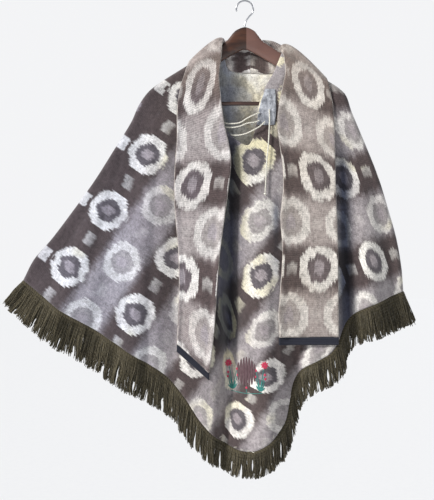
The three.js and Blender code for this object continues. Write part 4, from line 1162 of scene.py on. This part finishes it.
def hem_frames(grid, side):
    """Hem points with the direction down in the cloth and the direction through it."""
    edge = grid[-1]
    chord = np.gradient(edge, axis=0)
    down = np.stack([chord[:, 2], 0 * chord[:, 0], -chord[:, 0]], axis=1)
    return edge, unit(down), through_cloth(grid[-1:], side)[0]


def hang_stops(points):
    """Running distance along the hem as seen square to the way the fringe hangs there."""
    hang = unit(np.stack([table(LEAN, points[:, 0]), 0 * points[:, 0], -np.ones(len(points))], axis=1))
    steps = np.linalg.norm(np.cross(np.diff(points, axis=0), hang[:-1]), axis=1)
    return np.concatenate([[0], np.cumsum(steps)])


def sample(stops, values, at):
    """Rows of a table of vectors, by straight lines between its stops."""
    return np.stack([np.interp(at, stops, values[:, i]) for i in range(values.shape[1])], axis=1)


def heading(points, down, through):
    """Half-round heading: an oval section carried along the hem, pinched once in each stitch."""
    run = np.concatenate([[0], np.cumsum(np.linalg.norm(np.diff(points, axis=0), axis=1))])
    at = np.linspace(0, run[-1], int(run[-1] / 1.3) + 2)
    p, d, t = (sample(run, v, at) for v in (points, down, through))
    turn = np.linspace(0, 2 * np.pi, 12, endpoint=False)[None, :]
    pinch = 0.82 + 0.18 * np.abs(np.sin(np.pi * at / STITCH_SPACING))[:, None]
    tall, deep = (HEADER - SEAM) / 2, 2.3 * pinch
    middle_line = p + d * (SEAM + tall) + t * CLOTH / 2
    slant = 1.1 * np.sin(2 * np.pi * at / STITCH_SPACING)[:, None] * np.sin(turn)
    rings = middle_line[:, None] + (tall * np.cos(turn) + slant * 0.4)[..., None] * d[:, None] \
        - (deep * np.sin(turn))[..., None] * t[:, None]
    points_out, quads = closed_rows(rings)
    around = np.tile(np.linspace(0, 1, 12, endpoint=False), len(at))
    uv = np.concatenate([np.stack([around, np.repeat(at, 12) * MM], axis=1), [[0, 0], [0, at[-1] * MM]]])
    return points_out, quads, uv, np.full(len(points_out), 0.35)


def yarns(root, lean, outward_dir, along, length, tone, curl, rng, sides=4, steps=9):
    """Hanging yarns: each a square tube down a curve that starts square to the heading, swings to its
    own lean and waves as its lock does, thinner at the tip and shut at both ends."""
    n = len(root)
    t = np.linspace(0, 1, steps)[None, :, None]
    hang = unit(lean)[:, None]
    size, turns, phase = (column[:, None, None] for column in curl.T)
    own = rng.uniform(0.2, 1.6, (n, 1, 1)) * np.sin(rng.uniform(3.5, 9.0, (n, 1, 1)) * t
                                                    + rng.uniform(0, 2 * np.pi, (n, 1, 1)))
    bend = (size * np.sin(turns * t + phase) + own) * t
    puff = rng.uniform(0.3, 2.2, (n, 1, 1)) * np.sin(np.pi * np.minimum(1, t * 1.2))
    path = root[:, None] + hang * (length[:, None, None] * t) + along[:, None] * bend \
        + outward_dir[:, None] * puff
    radius = (rng.uniform(0.85, 1.3, (n, 1)) * (1 - 0.15 * t[..., 0]))[..., None]
    side = unit(along[:, None] - hang * np.sum(along[:, None] * hang, axis=-1, keepdims=True))
    front = unit(np.cross(hang, side))
    spin = rng.uniform(0, np.pi, (n, 1, 1)) + 5.0 * t
    rings = []
    for i in range(sides):
        angle = spin + 2 * np.pi * i / sides
        rings.append(path + side * radius * np.cos(angle) + front * radius * np.sin(angle))
    rings = np.stack(rings, axis=2)  # yarn, step, side, xyz
    ids = np.arange(n)[:, None, None, None] * steps * sides
    s = np.arange(steps - 1)[None, :, None, None]
    c = np.arange(sides)[None, None, :, None]
    nxt = (c + 1) % sides
    near, far = ids + s * sides, ids + (s + 1) * sides
    quads = np.concatenate([near + c, near + nxt, far + nxt, far + c], axis=-1).reshape(-1, 4)
    base = np.arange(n)[:, None] * steps * sides
    last = (steps - 1) * sides
    caps = np.concatenate([base + np.array([[0, 3, 2, 1]]), base + last + np.array([[0, 1, 2, 3]])])
    points = rings.reshape(-1, 3)
    quads = outward(points, np.concatenate([quads, caps]))
    v = np.broadcast_to(t[..., None] * length[:, None, None, None] * MM, (n, steps, sides, 1))
    u = np.broadcast_to((np.arange(sides) / sides)[None, None, :, None], (n, steps, sides, 1))
    uv = np.concatenate([u, v], axis=-1).reshape(-1, 2)
    return points, quads, uv, np.repeat(tone, steps * sides)


def fringe_piece(name, points, down, through, seed):
    """Heading and three depths of yarns on one stretch of hem, gathered in locks."""
    rng = np.random.default_rng(seed)
    stops = hang_stops(points)
    count = int(stops[-1] / YARN_SPACING)
    parts = [heading(points, down, through)]
    lock = np.cumsum(rng.uniform(5.0, 9.5, int(stops[-1] / 5) + 4))
    lock_lean = rng.normal(0, 0.03, len(lock) + 1)
    lock_reach = rng.normal(0, 0.045, len(lock) + 1)
    lock_curl = np.stack([rng.uniform(1.2, 5.2, len(lock) + 1), rng.uniform(2.5, 6.5, len(lock) + 1),
                          rng.uniform(0, 2 * np.pi, len(lock) + 1)], axis=1)
    for depth, share in ((-0.9, 1.0), (0.5, 0.97), (1.7, 1.0)):
        at = (np.arange(count) + 0.5 + rng.uniform(-0.35, 0.35, count)) * stops[-1] / count
        p, d, t = (sample(stops, v, at) for v in (points, down, through))
        along = unit(sample(stops, np.gradient(points, axis=0), at))
        which = np.searchsorted(lock, at)
        bounds = np.concatenate([[0], lock, [lock[-1] + 8]])
        centre = bounds[which] + np.diff(bounds)[which] / 2
        reach = table(REACH, p[:, 0]) + (HEADER - 4)
        length = reach * share * (1 + lock_reach[which] + rng.normal(0, 0.04, count))
        length = np.minimum(length, reach * 1.07)
        lean = table(LEAN, p[:, 0]) + lock_lean[which] + rng.normal(0, 0.028, count)
        lean = lean + np.clip(centre - at, -5, 5) * 0.12 / reach
        hang = np.stack([lean, rng.normal(0, 0.02, count), -np.ones(count)], axis=1)
        root = p + d * (HEADER - 4) + t * (CLOTH / 2 + depth)
        tone = np.clip(rng.beta(2, 2, count) + 0.15 * rng.normal(0, 1, len(lock) + 1)[which], 0, 1)
        parts.append(yarns(root, hang, -t, along, length, tone, lock_curl[which], rng))
    joined = join([(p, q) for p, q, _, _ in parts])
    uv, tone = (np.concatenate([part[i] for part in parts]) for i in (2, 3))
    return make(name + "_yarns", *joined, [OLIVE], "fringe", [name], uv=uv, tone=tone)


OLIVE = yarn_material("olive_yarn", srgb(24, 21, 15), srgb(52, 47, 34), srgb(112, 104, 84), 150.0)
for seed, (title, side) in enumerate((("front", FRONT), ("back", BACK))):
    points, down, through = hem_frames(halves[title + "_grid"], side)
    lowest = int(np.argmin(points[:, 2]))
    for stretch, part in (("left", slice(0, lowest + 1)), ("right", slice(lowest, None))):
        p = points[part].copy()
        if stretch == "right":
            p[0, 0] += SEAM
        name = f"fringe_{title}_{stretch}"
        fringe_piece(name, p, down[part], through[part], 11 + 7 * seed + len(stretch))


# End bands of the lapels, and the brushed flap beside the slit

def front_sheet(grid, thick, bulge=0.4):
    """Shell from an under face, thickened straight to the front."""
    return wall(grid - [0, thick, 0], grid, bulge)


# the bands' dark navy is partly their binding's own colour and partly painted shade under the lapels'
# ends
NAVY = yarn_material("navy_band", srgb(22, 23, 29), srgb(38, 40, 50), srgb(54, 56, 68), 260.0)
for side, (neck, lapel, turn_side, apart) in COLLARS.items():
    x_in, z_in, x_out, z_out = lapel[-1]
    q = np.linspace(0, 1, 46)[None, :]
    drop = np.linspace(SEAM, BAND_DEPTH, 13)[:, None]
    x = np.broadcast_to(mix(x_in, x_out, q), (13, 46))
    z = mix(z_in, z_out, q) - drop
    grid = np.stack([x, face_y(x, z, FRONT, True) - LAPEL_LIFT, z], axis=-1)
    points, quads, source, _ = front_sheet(grid, CLOTH)
    along = q * math.hypot(x_out - x_in, z_out - z_in) + 0 * drop
    uv = np.stack([along, drop + 0 * q], axis=-1).reshape(-1, 2) * MM
    tone = np.broadcast_to(0.5 + 0.5 * np.sin(drop * 2.2), (13, 46)).reshape(-1)
    band = make(f"band_{side}_cloth", points, quads, [NAVY], "band", [f"band_{side}"],
                uv=uv[source], tone=tone[source])

rows = np.array(PLACKET_ROWS, float)
z = np.linspace(-210, -294, 43)[:, None]
x_from = smooth_line(rows[:, [1]], rows[0, 0] - rows[:, 0])((rows[0, 0] - z[:, 0]) / 84)
x_to = smooth_line(rows[:, [2]], rows[0, 0] - rows[:, 0])((rows[0, 0] - z[:, 0]) / 84)
q = np.linspace(0, 1, 19)[None, :]
x = mix(x_from, x_to, q)
z = z + 0 * x
grid = np.stack([x, face_y(x, z, FRONT) - 0.8, z], axis=-1)
swell = np.sin(np.pi * q) ** 0.5 * np.sin(np.pi * np.linspace(0.02, 0.98, 43))[:, None] ** 0.4
outer = grid - np.stack([0 * x, FLAP * (0.45 + 0.55 * swell), 0 * x], axis=-1)
points, quads, source, _ = wall(outer, grid, 0.4)
placket = make("placket_flap", points, quads, [FLUFFY], "brushed_wool", ["placket"])


# Embroidery low on the front: a plain sprig either side of a round-ended medallion, on the cloth's face

def on_front(x, z):
    """Height of the dressed front's face, its creases included."""
    return face_y(x, z, FRONT) - (SEAM / 2 - fold_height(CREASES[FRONT], x, z)) - 0.1


def stitched(path, half_width, height, sides=10):
    """Raised satin stitch: a flattened oval carried along a line drawn in X and Z, then laid on the
    front's face with its height standing off it."""
    path = np.array(path, float)
    ahead = unit(np.gradient(path, axis=0))
    square = np.stack([-ahead[:, 1], ahead[:, 0]], axis=1)
    turn = np.linspace(0, 2 * np.pi, sides, endpoint=False)[None, :]
    width = np.broadcast_to(np.asarray(half_width, float), (len(path),))[:, None]
    flat = path[:, None] + (width * np.cos(turn))[..., None] * square[:, None]
    rise = np.where(np.sin(turn) > 0, height * np.sin(turn), 0.3 * np.sin(turn))
    rise = rise * np.minimum(1, width / (0.35 * width.max()))
    x, z = flat[..., 0], flat[..., 1]
    return closed_rows(np.stack([x, on_front(x, z) - rise, z], axis=-1))


def leaf(x, z, angle, length, wide, bend=0.0):
    """Line that leaves a point at an angle from upright and bends, with a half width that swells."""
    s = np.linspace(0, 1, 14)
    turned = np.radians(angle) + bend * s
    step = length / 13
    line = np.stack([x + np.cumsum(np.sin(turned)) * step, z + np.cumsum(np.cos(turned)) * step], axis=1)
    return line, wide * np.maximum(0.12, np.sin(np.pi * s) ** 0.7)


def blossom(x, z, size, petals, start=0.0):
    """Petals set evenly round a point, each a leaf of satin stitch."""
    turns = start + 360 * np.arange(petals) / petals
    return [stitched(*leaf(x, z, turned, size, size * 0.26), 0.9) for turned in turns]


teal, red, brown = [], [], []
for sign in (-1, 1):
    foot_x = 2 + sign * 31
    for angle, length, bend in ((-26, 30, 0.3), (-9, 42, -0.1), (10, 34, 0.2), (30, 26, -0.35)):
        line, _ = leaf(foot_x, -908, sign * angle, length, 1.0, sign * bend)
        teal.append(stitched(line, 0.8, 0.7))
        red.append(stitched(*leaf(line[-1, 0], line[-1, 1] - 1, sign * angle, 6.5, 2.7), 1.0))
    for angle, length in ((-38, 17), (-17, 21), (4, 22), (22, 18), (42, 14)):
        teal.append(stitched(*leaf(foot_x, -909, sign * angle, length, 1.9, sign * 0.2), 0.9))
    line, _ = leaf(foot_x, -908, sign * 6, 56, 1.0, sign * 0.12)
    teal.append(stitched(line, 0.8, 0.7))
    red += blossom(line[-1, 0], line[-1, 1], 8.5, 8, 12.0)
ground_x = np.linspace(-34, 38, 40)
ground_z = -911 - 3.5 * np.sin(np.pi * (ground_x + 34) / 72)
teal.append(stitched(np.stack([ground_x, ground_z], axis=1), 0.7, 0.6))
teal.append(stitched(*leaf(2, -914, 0, 11, 0.8), 0.6))
red.append(stitched(*leaf(2, -905, 0, 6.0, 2.5), 1.0))
for x, half in ((-15, 20), (-9, 28), (-3, 33), (3, 35), (9, 33), (15, 28), (21, 20)):
    z = np.linspace(-866 - half, -866 + half, 22)
    width = 3.2 * np.maximum(0.2, np.sin(np.pi * np.linspace(0, 1, 22)) ** 0.35)
    brown.append(stitched(np.stack([x - 1 + 0 * z, z], axis=1), width, 1.1))
SILKS = {
    "teal": (teal, srgb(24, 84, 80), srgb(44, 124, 118), srgb(78, 152, 144)),
    "red": (red, srgb(128, 26, 52), srgb(196, 48, 84), srgb(222, 86, 112)),
    "brown": (brown, srgb(52, 36, 38), srgb(84, 60, 66), srgb(112, 90, 96)),
}
for seed, (colour, (parts, deep, low, high)) in enumerate(SILKS.items()):
    points, quads = join(parts)
    silk = yarn_material(f"{colour}_stitching", deep, low, high, 420.0, 0.75)
    make(f"sprig_{colour}", points, quads, [silk], "blanket", uv=points[:, [0, 2]] * MM,
         tone=np.clip(np.random.default_rng(seed).normal(0.5, 0.25, len(points)), 0, 1))
# a few loose pale stitches of the sewing that holds the fringe
LOOSE = [(-27, -1040, 80, 7), (-12, -1044, 94, 6), (2, -1046, 85, 7), (14, -1047, 100, 5),
         (60, -1016, 48, 8), (63, -1012, 10, 5), (-60, -1018, 60, 5)]
loose = []
for x, z, angle, length in LOOSE:
    line, _ = leaf(x, z, angle, length, 1.0)
    loose.append(stitched(line, 0.55, 0.8))
points, quads = join(loose)
make("loose_stitches", points, quads, [COTTON], "lace", uv=points[:, [0, 2]] * MM,
     tone=np.full(len(points), 0.8))


# Hanger: two arms in one curved piece of wood, a round bar and a wire hook

def arms():
    """Oval sections from tip to tip: a top line that follows the shoulders and an arched underside
    that deepens to a lobe at each tip, where the bar is let in."""
    share = np.linspace(-1, 1, 121)
    x = ARM_REACH * np.sign(share) * (1 - (1 - np.abs(share)) ** 1.35)
    out = np.abs(x)
    dome = DOME * (1 - soft((out - DOME_FLAT) / DOME_FADE))
    top = SHOULDER_TOP - SHOULDER_SLOPE * np.hypot(x, SHOULDER_ROUND) + dome
    arch = UNDER_TOP - UNDER_SLOPE * np.hypot(x, UNDER_ROUND)
    under = mix(arch, LOBE_FOOT, soft((out - LOBE_START) / LOBE_FADE))
    tip = np.clip((out - (ARM_REACH - TIP_LENGTH)) / TIP_LENGTH, 0, 1)
    shrink = np.sqrt(1 - 0.86 * tip * tip)
    angle = np.linspace(0, 2 * np.pi, 28, endpoint=False)[None, :]

    def bent(v):
        """Sine or cosine of a rounded square instead of a circle."""
        return np.sign(v) * np.abs(v) ** (2 / ARM_SQUARENESS)

    y = -ARM_SWEEP * (x / ARM_REACH) ** 2
    rings = np.stack([
        np.broadcast_to(x[:, None], (len(x), 28)),
        y[:, None] + ARM_HALF_DEPTH * shrink[:, None] * bent(np.cos(angle)),
        ((top + under) / 2)[:, None] + ((top - under) / 2 * shrink)[:, None] * bent(np.sin(angle)),
    ], axis=-1)
    return closed_rows(rings)


WOOD = wood_material("hanger_varnish", srgb(82, 48, 31), srgb(50, 27, 17), (0.35, 1.0, 1.6),
                     painted_light_right=0.5)
WOOD_BAR = wood_material("bar_varnish", srgb(98, 66, 54), srgb(48, 30, 27), (0.08, 1.0, 1.0), 0.4)
STEEL = steel_material("hook_wire")
make("hanger_arms", *arms(), [WOOD], "hanger_wood", ["hanger_wood"])
# round bar: a straight tube with eased ends, let into the arms' lobes
ease = np.array([0, 0.5, 1.5])
bar_x = np.concatenate([ease - BAR_HALF, np.linspace(BAR_EASE - BAR_HALF, BAR_HALF - BAR_EASE, 60),
                        BAR_HALF - ease[::-1]])
ease_r = np.array([3.6, 4.4, BAR_RADIUS])
bar_r = np.concatenate([ease_r, np.full(60, BAR_RADIUS), ease_r[::-1]])
bar_y = -ARM_SWEEP * (207 / ARM_REACH) ** 2
bar_path = np.stack([bar_x, np.full(66, bar_y), np.full(66, BAR_HEIGHT)], axis=1)
make("hanger_dowel", *tube(bar_path, bar_r, 20), [WOOD_BAR], "hanger_bar", ["hanger_bar"])
# hook: a stem and most of a circle, as one wire with a rounded tip
hook_turn = np.radians(np.arange(-55, 196, 25))
hook_rows = np.concatenate([
    [[0, 0, HOOK_FOOT], [0, 0, -76], [0, 0, -66], [0, 0, -56], [3, 0, -46]],
    np.stack([HOOK_RADIUS * np.cos(hook_turn), 0 * hook_turn,
              HOOK_CENTRE + HOOK_RADIUS * np.sin(hook_turn)], axis=1)])
hook_path = smooth_line(hook_rows)(np.linspace(0, 1, 110))
hook_r = np.full(110, HOOK_WIRE / 2)
hook_r[-3:] = (1.9, 1.6, 1.0)
make("hanger_wire", *tube(hook_path, hook_r, 16), [STEEL], "hook_steel", ["hanger_hook"])


low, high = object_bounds()
